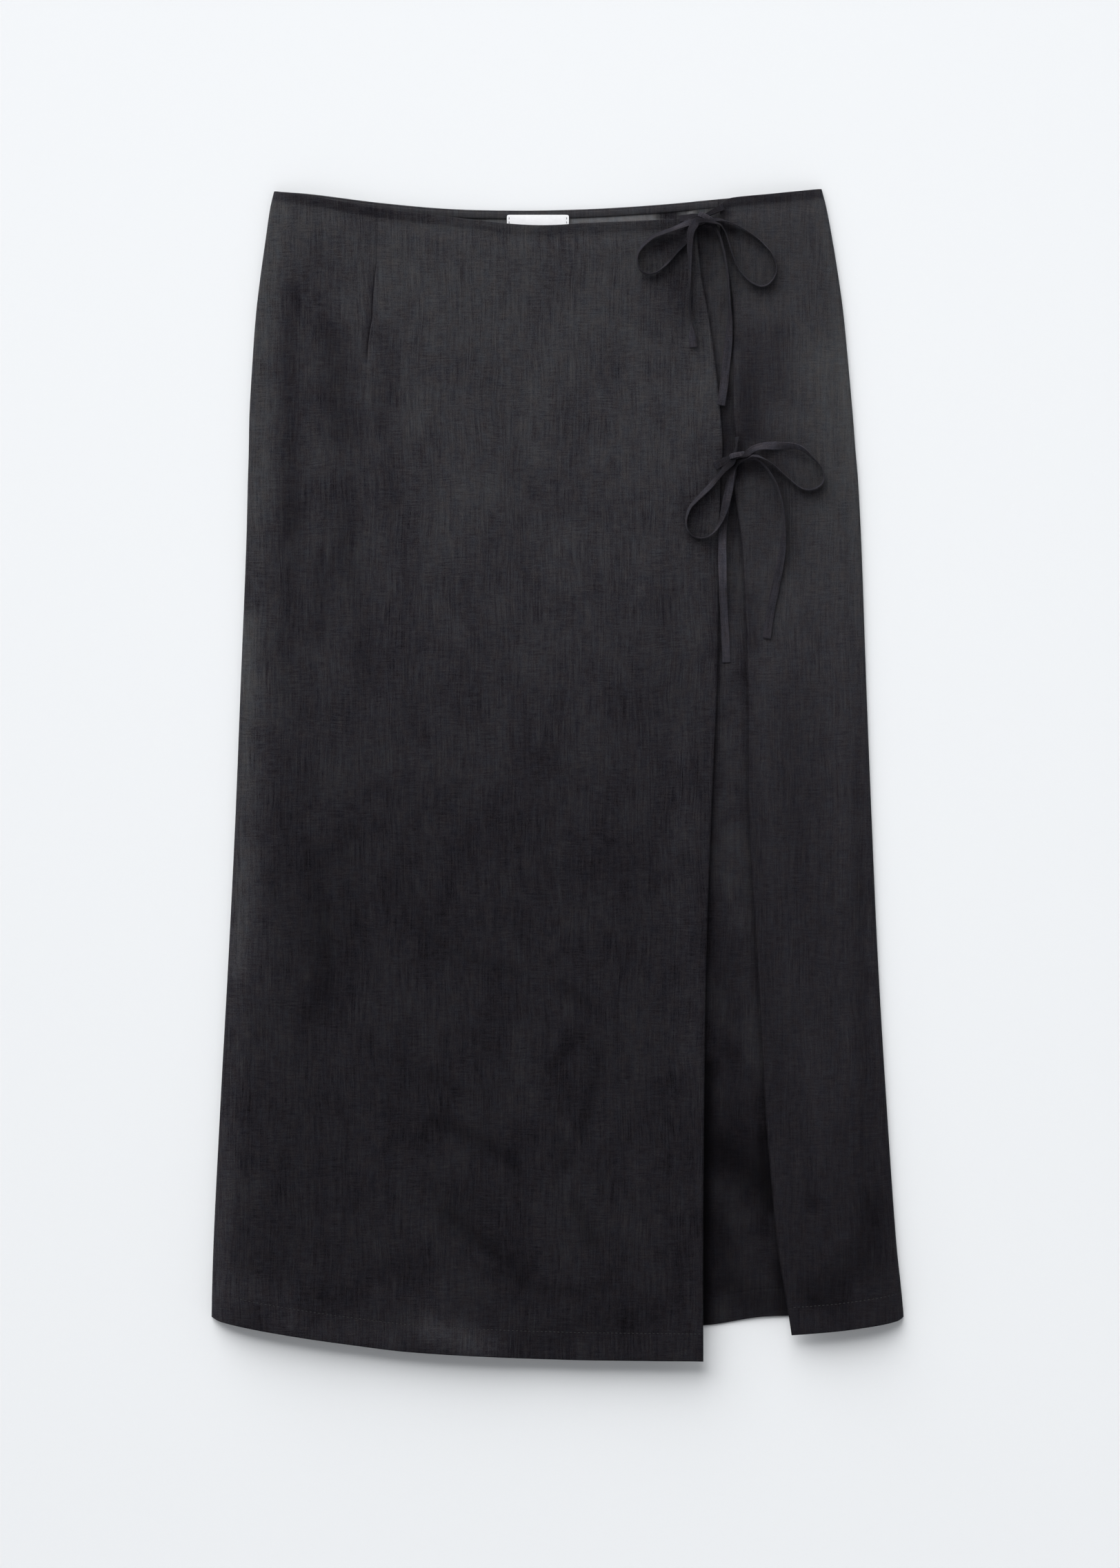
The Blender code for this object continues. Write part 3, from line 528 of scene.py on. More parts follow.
def soft(distance, reach):
    """1 on a line, fading to 0 over about twice the reach."""
    return np.exp(-((distance / reach) ** 2))


def lines_at(lines, x, y):
    """How strongly each line of folds or strokes is felt at each place."""
    for line in lines:
        nearest = np.full(np.shape(x), np.inf)
        for (x1, y1), (x2, y2) in zip(line.points, line.points[1:]):
            run_x, run_y = x2 - x1, y2 - y1
            t = ((x - x1) * run_x + (y - y1) * run_y) / (run_x**2 + run_y**2)
            t = np.clip(t, 0.0, 1.0)
            nearest = np.minimum(nearest, np.hypot(x - x1 - t * run_x, y - y1 - t * run_y))
        yield line.height * soft(nearest, line.reach)


def folds_at(folds, x, y):
    """The sum of some folds at each place."""
    return sum(lines_at(folds, x, y), np.zeros(np.shape(x)))


def shade_at(lines, x, y):
    """The product of some strokes of shade at each place."""
    shade = np.ones(np.shape(x))
    for lighter in lines_at(lines, x, y):
        shade *= 1 + lighter
    return shade


def uneven(x, y, width, length, seed):
    """Smooth unevenness between about -1 and 1, with spots of a width and length."""
    places = zip(np.ravel(x) / width, np.ravel(y) / length)
    return np.array([noise.noise((a, b, seed)) for a, b in places]).reshape(np.shape(x))


def moving(values, reach, pick=np.mean):
    """Each value's mean, or other pick, over its neighbours."""
    padded = np.pad(values, reach, mode="edge")
    return np.array([pick(padded[i : i + 2 * reach + 1]) for i in range(len(values))])


def run_of(places):
    """The length of a line of places up to each of them."""
    steps = np.linalg.norm(np.diff(places, axis=0), axis=1)
    return np.concatenate([[0], np.cumsum(steps)])


def graded(length, marks, coarse, growth):
    """Places from 0 to a length, with each mark's own step at it and coarser away from it."""
    places = [0.0]
    stops = sorted({0.0, length, *(mark for mark, _ in marks)})
    for start, stop in zip(stops, stops[1:]):
        steps = []
        at = start
        while at < stop:
            near = min(fine + growth * abs(at - mark) for mark, fine in marks)
            far = min(fine + growth * abs(at + near - mark) for mark, fine in marks)
            steps.append(min(coarse, near, far))
            at += steps[-1]
        scale = (stop - start) / sum(steps)
        for step in steps:
            places.append(places[-1] + step * scale)
        places[-1] = stop
    return np.array(places)


# --- the lie of the cloth ----------------------------------------------------


def side_and_slit(front, x, y):
    """How far in each place is from a front's side fold and from its slit edge."""
    left, right = (level(side, y) for side in front.sides)
    return (x - left, right - x) if front is WIDE else (right - x, x - left)


def front_top(front, x, y):
    """The height of a front's upper side without its creases, as in the frame."""
    below = edge(front.waist, x) - y
    lip = LIP_HEIGHT * soft(below, LIP_REACH)
    hollow = HOLLOW_DEPTH * soft(below - HOLLOW_DROP, HOLLOW_REACH)
    from_side, _ = side_and_slit(front, x, y)
    rolled = 1.0 - np.exp(-np.maximum(from_side, 0.0) / SIDE_ROLL)
    rise = rolled * (level("loft", y) + lip - hollow + folds_at(front.folds, x, y))
    return FRONT_BASE + np.maximum(rise, LEAST_RISE * rolled)


def cloth_top(x, y):
    """The height of the topmost cloth at each place."""
    on_wide = (x <= level("wide_edge", y)) & (y <= edge(WIDE.waist, x))
    on_narrow = (x >= level("narrow_edge", y)) & (y <= edge(NARROW.waist, x))
    on_binding = y > edge(BACK_WAIST, x) - CAD_BINDING
    back = np.where(on_binding, CAD_CLOTH + GAP + CAD_TAPE, CAD_CLOTH)
    beside_wide = np.where(on_narrow, front_top(NARROW, x, y), back)
    return np.where(on_wide, front_top(WIDE, x, y), beside_wide)


# --- materials ---------------------------------------------------------------


def wire(tree, made, inputs):
    """Sets a node's inputs, or links them where the value is another node's output."""
    for name, value in inputs.items():
        if isinstance(value, bpy.types.NodeSocket):
            tree.links.new(value, made.inputs[name])
        else:
            made.inputs[name].default_value = value


def node(tree, kind, inputs, output=0, **settings):
    """Adds a shader node with its settings and inputs, and gives its output."""
    made = tree.nodes.new("ShaderNode" + kind)
    for name, value in settings.items():
        setattr(made, name, value)
    wire(tree, made, inputs)
    return made.outputs[output]


def maths(tree, operation, first, second, third=0.0, clamp=False):
    inputs = {0: first, 1: second, 2: third}
    return node(tree, "Math", inputs, operation=operation, use_clamp=clamp)


def grade(tree, pattern, amount, base, clamp=False):
    """A pattern times an amount, on top of a base."""
    return maths(tree, "MULTIPLY_ADD", pattern, amount, base, clamp)


def blend_colours(tree, share, first, second):
    inputs = {0: share, 6: (*first, 1.0), 7: (*second, 1.0)}
    return node(tree, "Mix", inputs, 2, data_type="RGBA")


def new_material(name, colour):
    """An empty material and its node tree."""
    made = bpy.data.materials.new(name)
    made.use_nodes = True
    made.diffuse_color = (*colour, 1.0)
    return made, made.node_tree


def cloth_places(tree):
    """Where a weave is read on a piece, the same through its thickness."""
    place = node(tree, "TexCoord", {}, "Object")
    return node(tree, "Mapping", {"Vector": place, "Scale": (1, 1, 0)})


def dress(tree, tint, factor, roughness, gloss, relief=None, depth=0.0, strength=0.0):
    """Wires a tint times a factor, the roughness, the gloss and a relief into the shader."""
    scaled = node(tree, "VectorMath", {0: tint, "Scale": factor}, operation="SCALE")
    inputs = {"Base Color": scaled, "Roughness": roughness, "Specular IOR Level": gloss}
    if relief:
        bump = {"Height": relief, "Distance": depth, "Strength": strength}
        inputs["Normal"] = node(tree, "Bump", bump)
    wire(tree, tree.nodes["Principled BSDF"], inputs)


def threads(tree, places, across, along, shift, detail=2.0):
    """Noise with so many spots a metre across and along, about 0 on average."""
    inputs = {"Vector": places, "Scale": (across, along, 1.0), "Location": (shift, shift, shift)}
    mapped = node(tree, "Mapping", inputs)
    inputs = {"Vector": mapped, "Scale": 1.0, "Detail": detail, "Roughness": 0.6}
    spots = node(tree, "TexNoise", inputs, "Fac", noise_dimensions="2D")
    return maths(tree, "SUBTRACT", spots, 0.5)


def strayed(tree, places):
    """The same places with the threads' small wanderings added."""
    inputs = {"Vector": places, "Scale": 13.0, "Detail": 1.0}
    wander = node(tree, "TexNoise", inputs, "Color", noise_dimensions="2D")
    inputs = {0: wander, 1: (0.006, 0.008, 0.0), 2: places}
    return node(tree, "VectorMath", inputs, operation="MULTIPLY_ADD")


def weave(tree, places):
    """The height of a plain weave, from 0 to 1."""
    inputs = {"Vector": places, "Scale": 507.0, "Distortion": 0.0}
    warp = node(tree, "TexWave", inputs, "Fac", bands_direction="X")
    weft = node(tree, "TexWave", inputs, "Fac", bands_direction="Y")
    return maths(tree, "MAXIMUM", warp, weft)


def linen(name, colour, lit, on_tape=False, slub=1.0, coarse=1.1):
    """Semi-sheer slubby linen. The shade attribute lightens or darkens it with painted light and shade."""
    made, tree = new_material(name, colour)
    if on_tape:
        # The threads follow the tape's own length.
        places = node(tree, "UVMap", {}, "UV", uv_map="length")
    else:
        places = strayed(tree, cloth_places(tree))
    patches = threads(tree, places, 55, 34, 12.1)
    warp = threads(tree, places, 1050, 45, 0.0, detail=3.0)
    warp = maths(tree, "MULTIPLY", warp, grade(tree, patches, 2.2, 1.0))
    weft = threads(tree, places, 90, 1050, 7.7, detail=3.0)
    weft = maths(tree, "MULTIPLY", weft, grade(tree, patches, -2.8, 1.0))
    spots = threads(tree, places, 300, 230, 1.3)
    total = 0.0
    for pattern, amount in (
        (warp, 1.25),
        (threads(tree, places, 420, 9, 3.1), 0.45),  # the warp's long slubs
        (weft, 0.90),
        (threads(tree, places, 1300, 1100, 4.6, detail=1.0), 1.0),  # grain
        (spots, 0.50),
        (threads(tree, places, 70, 52, 5.9), 0.30 * coarse),  # clouds
        (threads(tree, places, 24, 15, 9.2), 0.75 * coarse),  # and broader ones
    ):
        total = grade(tree, pattern, amount * slub, total)
    shade = node(tree, "Attribute", {}, "Fac", attribute_name="shade")
    if not on_tape:
        # The weave shows most where the painted shade is darkest.
        total = maths(tree, "DIVIDE", total, grade(tree, shade, 0.14, 0.66))
    factor = maths(tree, "MULTIPLY", maths(tree, "ADD", total, 1.0), shade)
    # Painted sheen: the yarn's loose fibres are painted as light in every fold.
    painted_sheen = 0.17 if on_tape else 0.26
    factor = maths(tree, "ADD", maths(tree, "MAXIMUM", factor, 0.0), painted_sheen)
    # Lighter cloth, by its threads and by painted light, is nearer to grey, and the yarn itself varies a
    # little.
    through = grade(tree, total, 0.8, grade(tree, shade, 0.25, -0.125), clamp=True)
    tint = blend_colours(tree, through, colour, lit)
    yarn = grade(tree, threads(tree, places, 170, 120, 15.7), 1.6, 0.5, clamp=True)
    yarn = blend_colours(tree, yarn, (0.95, 1.0, 1.06), (1.06, 0.99, 0.95))
    tint = node(tree, "VectorMath", {0: tint, 1: yarn}, operation="MULTIPLY")
    relief = grade(tree, weft, 1.4, grade(tree, warp, 1.6, weave(tree, places)))
    dress(tree, tint, factor, grade(tree, spots, 0.12, 0.55), 0.0, relief, 0.00009, 0.8)
    sheen = {"Sheen Weight": 0.03, "Sheen Roughness": 0.45, "Sheen Tint": (0.92, 0.93, 1.0, 1.0)}
    wire(tree, tree.nodes["Principled BSDF"], sheen)
    return made


def label_cloth(colour):
    """White label tape in a fine ribbed weave."""
    made, tree = new_material("label_tape", colour)
    places = cloth_places(tree)
    ribs = threads(tree, places, 300, 2400, 2.0)
    soil = threads(tree, places, 160, 120, 4.0)
    factor = grade(tree, soil, 0.1, grade(tree, ribs, 0.16, 1.0))
    roughness = grade(tree, soil, 0.2, 0.62)
    dress(tree, tuple(colour), factor, roughness, 0.3, ribs, 0.00008, 0.7)
    return made


def thread_finish(colour):
    """Twisted sewing thread."""
    made, tree = new_material("sewing_thread", colour)
    place = node(tree, "TexCoord", {}, "Object")
    inputs = {"Vector": place, "Scale": 900.0}
    twist = node(tree, "TexWave", inputs, "Fac", bands_direction="DIAGONAL")
    factor = grade(tree, twist, 0.5, 0.75)
    dress(tree, tuple(colour), factor, grade(tree, twist, 0.1, 0.5), 0.35, twist, 0.00005, 0.8)
    return made


def surface_finish(colour):
    """A pale matt surface with a faint tooth."""
    made, tree = new_material("pale_surface", colour)
    tooth = grade(tree, threads(tree, cloth_places(tree), 900, 900, 1.7), 0.02, 1.0)
    dress(tree, tuple(colour), tooth, 0.9, 0.0)
    return made


# --- making pieces -----------------------------------------------------------


def finish_piece(piece, name, nodes, slot, finish):
    """Names a piece, gives it its material, attaches it to the frame's root and hides the frame's parts
    that it stands for.
    """
    piece.name = name
    piece.data.name = name
    piece.data.materials.clear()
    piece.data.materials.append(finish)
    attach(piece, "root")
    if nodes:
        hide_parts(*nodes)


def only(*pieces):
    """Selects some objects and makes the first the active one."""
    bpy.ops.object.select_all(action="DESELECT")
    for piece in pieces:
        piece.select_set(True)
    if pieces:
        bpy.context.view_layer.objects.active = pieces[0]


@contextmanager
def editing(piece, chosen=None):
    """Edit mode on one object, with all or none of it selected, or what is already."""
    only(piece)
    bpy.ops.object.mode_set(mode="EDIT")
    if chosen:
        bpy.ops.mesh.select_all(action=chosen)
    yield
    bpy.ops.mesh.select_all(action="DESELECT")
    bpy.ops.object.mode_set(mode="OBJECT")


def give_shade(mesh, values):
    """Sets how light each point of a mesh is."""
    attribute = mesh.attributes.new("shade", "FLOAT", "POINT")
    attribute.data.foreach_set("value", np.ravel(values))


def thicken(sheet, wall, doubled, doubled_wall):
    """Gives a sheet its wall below it. Where doubled is 1, the wall is doubled_wall."""
    modifier = sheet.modifiers.new("wall", "SOLIDIFY")
    modifier.offset = -1.0
    modifier.thickness = wall
    if doubled is not None:
        group = sheet.vertex_groups.new(name="doubled")
        ranks = np.round(np.ravel(doubled) * 10)
        for rank in range(1, 11):
            group.add(np.nonzero(ranks == rank)[0].tolist(), rank / 10, "REPLACE")
        modifier.thickness = doubled_wall
        modifier.vertex_group = "doubled"
        modifier.thickness_vertex_group = wall / doubled_wall
    only(sheet)
    bpy.ops.object.modifier_apply(modifier="wall")


def soften_rim(sheet, cells, width):
    """Rounds the upper edge of a sheet's cut rim."""
    rim_edges = set()
    top_edges = set()
    for polygon in sheet.data.polygons:
        if polygon.index >= 2 * cells:
            rim_edges.update(polygon.edge_keys)
        elif polygon.index < cells:
            top_edges.update(polygon.edge_keys)
    wanted = rim_edges & top_edges
    with editing(sheet, "DESELECT"):
        bpy.ops.mesh.select_mode(type="EDGE")
    for line in sheet.data.edges:
        line.select = line.key in wanted
    with editing(sheet):
        bpy.ops.mesh.bevel(offset=width, segments=2, affect="EDGES")


def cloth_piece(names, finish, places, shade, wall, rim, doubled=None, doubled_wall=0.0):
    """A sheet with its upper side at rows of x, y and z, its wall and a softened rim.

    The names are its own, its node's in the frame and its material slot's; the slot's name is not used.
    """
    rows, columns = np.shape(places[0])
    only()
    bpy.ops.mesh.primitive_grid_add(x_subdivisions=columns - 1, y_subdivisions=rows - 1, size=1.0)
    sheet = bpy.context.object
    sheet.data.vertices.foreach_set("co", np.stack(places, axis=-1).reshape(-1))
    give_shade(sheet.data, shade)
    sheet.data.update()
    cells = len(sheet.data.polygons)
    thicken(sheet, wall, doubled, doubled_wall)
    soften_rim(sheet, cells, rim)
    bpy.ops.object.shade_smooth_by_angle(angle=math.radians(40.0))
    name, node_name, slot = names
    finish_piece(sheet, name, (node_name,), slot, finish)


# --- panels ------------------------------------------------------------------


def panel_places(sides, inset, hem, waist, shares, distances, shift=None):
    """Points of a panel in rows from hem to waist, and how far each is above the hem."""
    share, along = np.meshgrid(shares, distances)
    length = distances[-1]
    y = along + edge(hem, 0.0)
    for _ in range(PLACING_ROUNDS):
        placed = share if shift is None else shift(share, y)
        left = level(sides[0], y) + inset
        right = level(sides[1], y) - inset
        x = left + (right - left) * placed
        turn = smooth(along / length)
        y = (edge(hem, x) + along) * (1 - turn) + (edge(waist, x) + along - length) * turn
    return x, y, along


def crumple(x, y, seed):
    """The small unevenness of laid linen, in metres."""
    return (
        0.00085 * uneven(x, y, 0.045, 0.120, seed)
        + 0.00042 * uneven(x, y, 0.022, 0.045, seed + 11)
        + 0.00016 * uneven(x, y, 0.011, 0.018, seed + 23)
        + 0.00004 * uneven(x, y, 0.006, 0.008, seed + 29)
    )


def rolled_down(z, from_side, reach, lowest):
    """Brings the cloth down round a side fold."""
    share = np.clip(from_side / reach, 0.0, 1.0)
    return lowest + (z - lowest) * np.sqrt(1 - (1 - share) ** 2)


def painted_waist_light(y):
    """Painted light: how much lighter the cloth is painted towards the waist, standing in for light that
    comes through it and for its sheen towards the light.
    """
    return 1.0 + 0.20 * smooth((y + 0.40) / 0.40) + 1.93 * smooth((y + 0.10) / 0.44)


def dart_at(y):
    """How far across the dart is."""
    return column(DART, "y", "x", y)


def dart_shift(share, y):
    """Moves the wide front's columns so that one of them follows the dart."""
    left, right = level("left", y), level("wide_edge", y)
    wanted = (dart_at(y) - left) / (right - left) - DART_SHARE
    wanted *= smooth((y - 0.22) / 0.08)
    return share + wanted * soft(share - DART_SHARE, 0.12)


def dart_dip(x, y):
    """How far the cloth dips along the dart."""
    sewn = smooth((y - DART_FOOT) / DART_FADE) * (0.55 + 0.45 * smooth((0.40 - y) / 0.04))
    beside = x - dart_at(y)
    dip = np.where(beside <= 0, np.exp(np.minimum(beside, 0) / 0.0040), 1 - beside / 0.0004)
    return 0.0009 * sewn * np.clip(dip, 0.0, 1.0)


def band_shade(x, y, band, amount):
    """Painted shade along the facing under a front's waist, darker and mottled, where the hollow below the
    rolled edge lies in shade and the doubled cloth lets less light through.
    """
    mottled = 1 + 0.35 * uneven(x, y, 0.014, 0.005, 43.0)
    return 1 - amount * mottled * smooth(band / 0.0032 + 0.5)


def wide_painted_light(x, y, band, from_side):
    """The wide front's own painted light and shade: its waist band, the dart's shadow and a highlight along
    its side.
    """
    band = band + 0.001 * smooth((x + 0.05) / 0.03)
    deeper = 0.32 + 0.11 * soft(x + 0.155, 0.060) - 0.18 * smooth((x + 0.08) / 0.08)
    beside = x - dart_at(y)
    strength = smooth((y - DART_FOOT) / DART_FADE) * (0.2 + 0.8 * smooth((0.378 - y) / 0.03))
    shadow = 1 - 0.88 * strength * np.exp(np.minimum(beside, 0) / 0.0022) * (beside < 0)
    # Painted highlight along the side fold, stronger towards the hem.
    rim = 0.30 + 0.30 * smooth((0.10 - y) / 0.20)
    rim = rim * soft(from_side - 0.004, 0.011) * (1 + 0.5 * uneven(x, y, 0.02, 0.06, 8.0))
    return band_shade(x, y, band, deeper) * shadow * (1 + rim)


def narrow_painted_light(x, y, band, from_side):
    """The narrow front's own painted light and shade: its waist band and a highlight along its side."""
    return band_shade(x, y, band, 0.38) * (1 + 0.25 * soft(from_side - 0.003, 0.006))


def make_back_panel(finish):
    """The back, plain where the fronts hide it, uneven in the slit."""
    width, length = 0.479, 0.8130
    inset = 0.0011  # its edges stay inside the side folds
    marks = ((0.300, 0.0022), (0.343, 0.0010), (0.400, 0.0010))
    columns = graded(width, marks, 0.0070, 0.05)
    marks = ((0.0, 0.0006), (0.020, 0.0006), (length - 0.012, 0.0006), (length, 0.0006))
    rows = graded(length, (*marks, (length - 0.035, 0.0018)), 0.0045, 0.07)
    shares = columns / width
    sides = ("left", "right")
    x, y, along = panel_places(sides, inset, BACK_HEM, BACK_WAIST, shares, rows)
    from_wide = x - level("wide_edge", y)
    from_narrow = level("narrow_edge", y) - x
    in_slit = smooth(from_wide / 0.006 + 1) * smooth(from_narrow / 0.006 + 1)
    z = 0.0010 + in_slit * (0.0004 + 0.7 * crumple(x, y, 5.0))
    z -= 0.00025 * soft(along - sizes().hem_turn, 0.0007) * in_slit
    z = np.maximum(z, 0.0009)
    # Painted light: a strip below the waist is painted lighter, in fine streaks, where light shows through
    # the single layer.
    strip = smooth((y - edge(WIDE.waist, x) + 0.003) / 0.002) * smooth((0.100 - x) / 0.004)
    shade = (1 + strip * 0.6) * shade_at(BACK_SHADES, x, y) * painted_waist_light(y)
    shade *= 1 + strip * 0.35 * uneven(x, y, 0.0022, 0.5, 3.0)
    # Painted shadow: beside the fronts' slit edges it is darker.
    shade *= 1 - 0.35 * soft(from_wide - 0.0004, 0.0016)
    shade *= 1 - 0.20 * soft(from_narrow - 0.0004, 0.0014)
    names = ("back_panel_cloth", "back_panel", "linen")
    cloth_piece(names, finish, (x, y, z), shade, 0.0009, 0.00025)


def make_front(front, finish):
    """A front with its creases, turned hem, waist band and slit edge."""
    width, length = front.width, front.length
    hem_turn, waist_band = sizes().hem_turn, sizes().waist_band
    marks = ((0.0, EDGE_STEP), *front.marks, (width, EDGE_STEP))
    columns = graded(width, marks, *front.steps)
    # The rows are fine at the hem, the waist band and both bows.
    fine = [(at, 0.00045) for at in (0.0, hem_turn, length - waist_band, length)]
    bows = ((length - 0.040, 0.0013), (length - 0.190, 0.0016), (length - 0.210, 0.0016))
    rows = graded(length, (*fine, *bows), 0.0036, 0.15)
    shift = dart_shift if front is WIDE else None
    shares = columns / width
    x, y, along = panel_places(front.sides, 0.0, front.hem, front.waist, shares, rows, shift)

    from_side, from_slit = side_and_slit(front, x, y)
    band = along - (length - waist_band)
    loose = smooth(from_side / front.loose)
    z = front_top(front, x, y)
    z += loose * (folds_at(front.creases, x, y) + crumple(x, y, front.crumple_seed))
    # The slit edge waves up and down, and turns down at its rim.
    wave_length, wave_seed, wave_reach = front.wave
    z += 0.0007 * uneven(x, y, 0.5, wave_length, wave_seed) * soft(from_slit, wave_reach)
    z -= 0.00035 * soft(from_slit, 0.0007)
    # The hem ruffles. The cloth dips at its stitches, its rim and below the waist band.
    ruffle = uneven(x, y, 0.010, 0.030, front.ruffle_seed)
    z += 0.00025 * ruffle * smooth((0.024 - along) / 0.008) * loose
    z -= 0.00013 * soft(along - hem_turn, 0.0009) * loose
    z -= 0.00030 * soft(along, 0.0006)
    z -= 0.00010 * soft(band, 0.0014) * loose
    if front is WIDE:
        z -= dart_dip(x, y)
    z = rolled_down(z, from_side, sizes().side_edge, 0.0004)

    # Painted light and shade: the front's strokes, lighter towards the waist, its waist band, dart and
    # side, and a thin painted shadow along its slit edge.
    look = wide_painted_light if front is WIDE else narrow_painted_light
    shade = shade_at(front.shades, x, y) * painted_waist_light(y) * look(x, y, band, from_side)
    shade *= 1 - front.slit_shade * soft(from_slit, 0.0007) * smooth((0.39 - y) / 0.03)
    # The cloth is double at the hem, the waist band and the slit edge.
    doubled = np.maximum(along < hem_turn, band > 0) * 1.0
    doubled = np.maximum(doubled, smooth(1.5 - from_slit / 0.006)) * smooth(from_side / 0.004)
    names = (front.name, front.node, "linen")
    walls = sizes().cloth, 0.0003, doubled, sizes().doubled
    cloth_piece(names, finish, (x, y, z), shade, *walls)


def make_binding(finish):
    """A crowned strip along the back waist, sewn near its upper edge."""
    start, end = -0.196, 0.1165
    columns = graded(end - start, ((0.0, 0.0012),), 0.0012, 0.0)
    along, across = np.meshgrid(columns, np.linspace(0, 1, 13))
    x = start + along
    top = edge(BACK_WAIST, x) - 0.0003
    depth = np.minimum(sizes().binding, top - edge(WIDE.waist, x) + 0.0012)
    y = top - depth * (1 - across)
    crown = 1 - (2 * across - 1) ** 2
    z = 0.0016 + 0.0006 * np.sqrt(crown) + 0.00012 * uneven(x, y, 0.004, 0.010, 41.0)
    z -= 0.0003 * soft((1 - across) * depth - 0.0012, 0.0004)
    # Painted light: lighter towards the waist, with its strokes of painted light and shade.
    shade = painted_waist_light(y) * shade_at(BINDING_SHADES, x, y)
    names = ("waist_binding_strip", "back_waist_binding", "binding")
    cloth_piece(names, finish, (x, y, z), shade, 0.0006, 0.0002)


def make_label(finish):
    """A blank tape label with rounded corners, sewn down at both ends."""
    low, high = (np.array(corner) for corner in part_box("label"))
    middle, half = (low + high) / 2, (high - low) / 2
    corner = 0.0014
    across = np.linspace(low[0], high[0], 61)
    down = np.linspace(low[1], high[1], 17)
    x, y = np.meshgrid(across, down)
    reach_x = np.abs(x - middle[0]) - (half[0] - corner)
    reach_y = np.abs(y - middle[1]) - (half[1] - corner)
    far = np.maximum(np.hypot(reach_x, reach_y), 1e-9)
    pull = 1 - np.maximum(reach_x, reach_y) / far
    pull = np.where((reach_x > 0) & (reach_y > 0), pull, 0.0)
    x = x - np.sign(x - middle[0]) * reach_x * pull
    y = y - np.sign(y - middle[1]) * reach_y * pull
    end = half[0] - np.abs(x - middle[0])
    z = 0.0027 + 0.00015 * uneven(x, y, 0.012, 0.008, 51.0)
    z -= 0.00018 * soft(end - 0.0016, 0.0004)
    names = ("blank_label", "label", "label_tape")
    cloth_piece(names, finish, (x, y, z), np.ones(x.shape), 0.0004, 0.00012)


# --- ties --------------------------------------------------------------------


def tie_route(names):
    """Even samples (x, y, lift, turn) along a tie, and the stretch that each is on."""
    owners = [name for name in names for _ in STRETCHES[name].points]
    rows = np.array([point for name in names for point in STRETCHES[name].points])
    rows[:, 3] = np.radians(rows[:, 3])
    padded = np.vstack([2 * rows[0] - rows[1], rows, 2 * rows[-1] - rows[-2]])
    fine = []
    fine_owners = []
    for i in range(len(rows) - 1):
        before, start, end, after = padded[i : i + 4]
        for t in np.linspace(0, 1, 16, endpoint=False):
            curve = start * 2 + (end - before) * t
            curve = curve + (before * 2 - start * 5 + end * 4 - after) * t**2
            curve = curve + (start * 3 - before - end * 3 + after) * t**3
            fine.append(curve / 2)
            fine_owners.append(owners[i] if owners[i] == owners[i + 1] else "")
    fine = np.array([*fine, rows[-1]])
    fine_owners.append(owners[-1])
    done = run_of(fine[:, :2])
    even = np.linspace(0, done[-1], round(done[-1] / SAMPLE) + 1)
    spaced = np.stack([np.interp(even, done, fine[:, k]) for k in range(4)], axis=1)
    nearest = np.clip(np.searchsorted(done, even), 0, len(fine) - 1)
    return spaced, np.array([fine_owners[i] for i in nearest])


def from_knots(places):
    """How far each place is from the nearest knot's middle, in plan."""
    away = [np.hypot(places[:, 0] - knot.x, places[:, 1] - knot.y) for knot in KNOTS]
    return np.min(away, axis=0)


def spread(turn):
    """Half a tape's reach sideways and upwards, as it is tipped."""
    lying, standing = np.abs(np.cos(turn)), np.abs(np.sin(turn))
    half_width, half_wall = sizes().tape / 2, sizes().tape_wall / 2
    return half_width * lying + half_wall * standing, half_width * standing + half_wall * lying


def lay_ties():
    """Each tie's name, places, tips and tones, once all its stretches are laid in order."""
    routes = {name: tie_route(stretches) for name, stretches in TIES.items()}
    heights = {name: np.full(len(route), np.nan) for name, (route, _) in routes.items()}
    laid = []
    for stretch_name in STRETCHES:
        name = next(tie for tie in TIES if stretch_name in TIES[tie])
        route, owners = routes[name]
        picked = (owners == stretch_name) & (from_knots(route) > KNOT_CLEARANCE)
        x, y, lift, turn = route[picked].T
        sideways, upwards = spread(turn)
        reach = sideways + GAP
        rest = cloth_top(x, y)
        for angle in np.arange(8) * math.tau / 8:
            around = cloth_top(x + reach * math.cos(angle), y + reach * math.sin(angle))
            rest = np.maximum(rest, around)
        for other in laid:
            away = np.hypot(x[:, None] - other[:, 0], y[:, None] - other[:, 1])
            under = np.where(away < reach[:, None] + other[:, 2], other[:, 3], 0.0)
            rest = np.maximum(rest, under.max(axis=1))
        rest = moving(moving(rest, REST_REACH, np.max), REST_REACH)
        height = rest + GAP + lift + upwards
        laid.append(np.stack([x, y, reach, height + upwards], axis=1))
        heights[name][picked] = height
    for name, (route, owners) in routes.items():
        height = heights[name]
        known = ~np.isnan(height)
        ranks = np.arange(len(height))
        height = moving(np.interp(ranks, ranks[known], height[known]), 2)
        tones = [STRETCHES[owner].shade if owner else 0.8 for owner in owners]
        yield name, np.column_stack([route[:, :2], height]), route[:, 3], moving(tones, 3)


def tape_mesh(name, places, tips, widths, walls, shades):
    """A flat tube along some places, tipped at each."""
    forward = np.gradient(places, axis=0)
    forward /= np.linalg.norm(forward, axis=1)[:, None]
    left = np.cross((0.0, 0.0, 1.0), forward)
    left /= np.maximum(np.linalg.norm(left, axis=1), 1e-9)[:, None]
    above = np.cross(forward, left)
    across = np.cos(tips)[:, None] * left + np.sin(tips)[:, None] * above
    upward = np.cos(tips)[:, None] * above - np.sin(tips)[:, None] * left
    return rings_mesh(name, places, across, upward, widths, walls, shades)


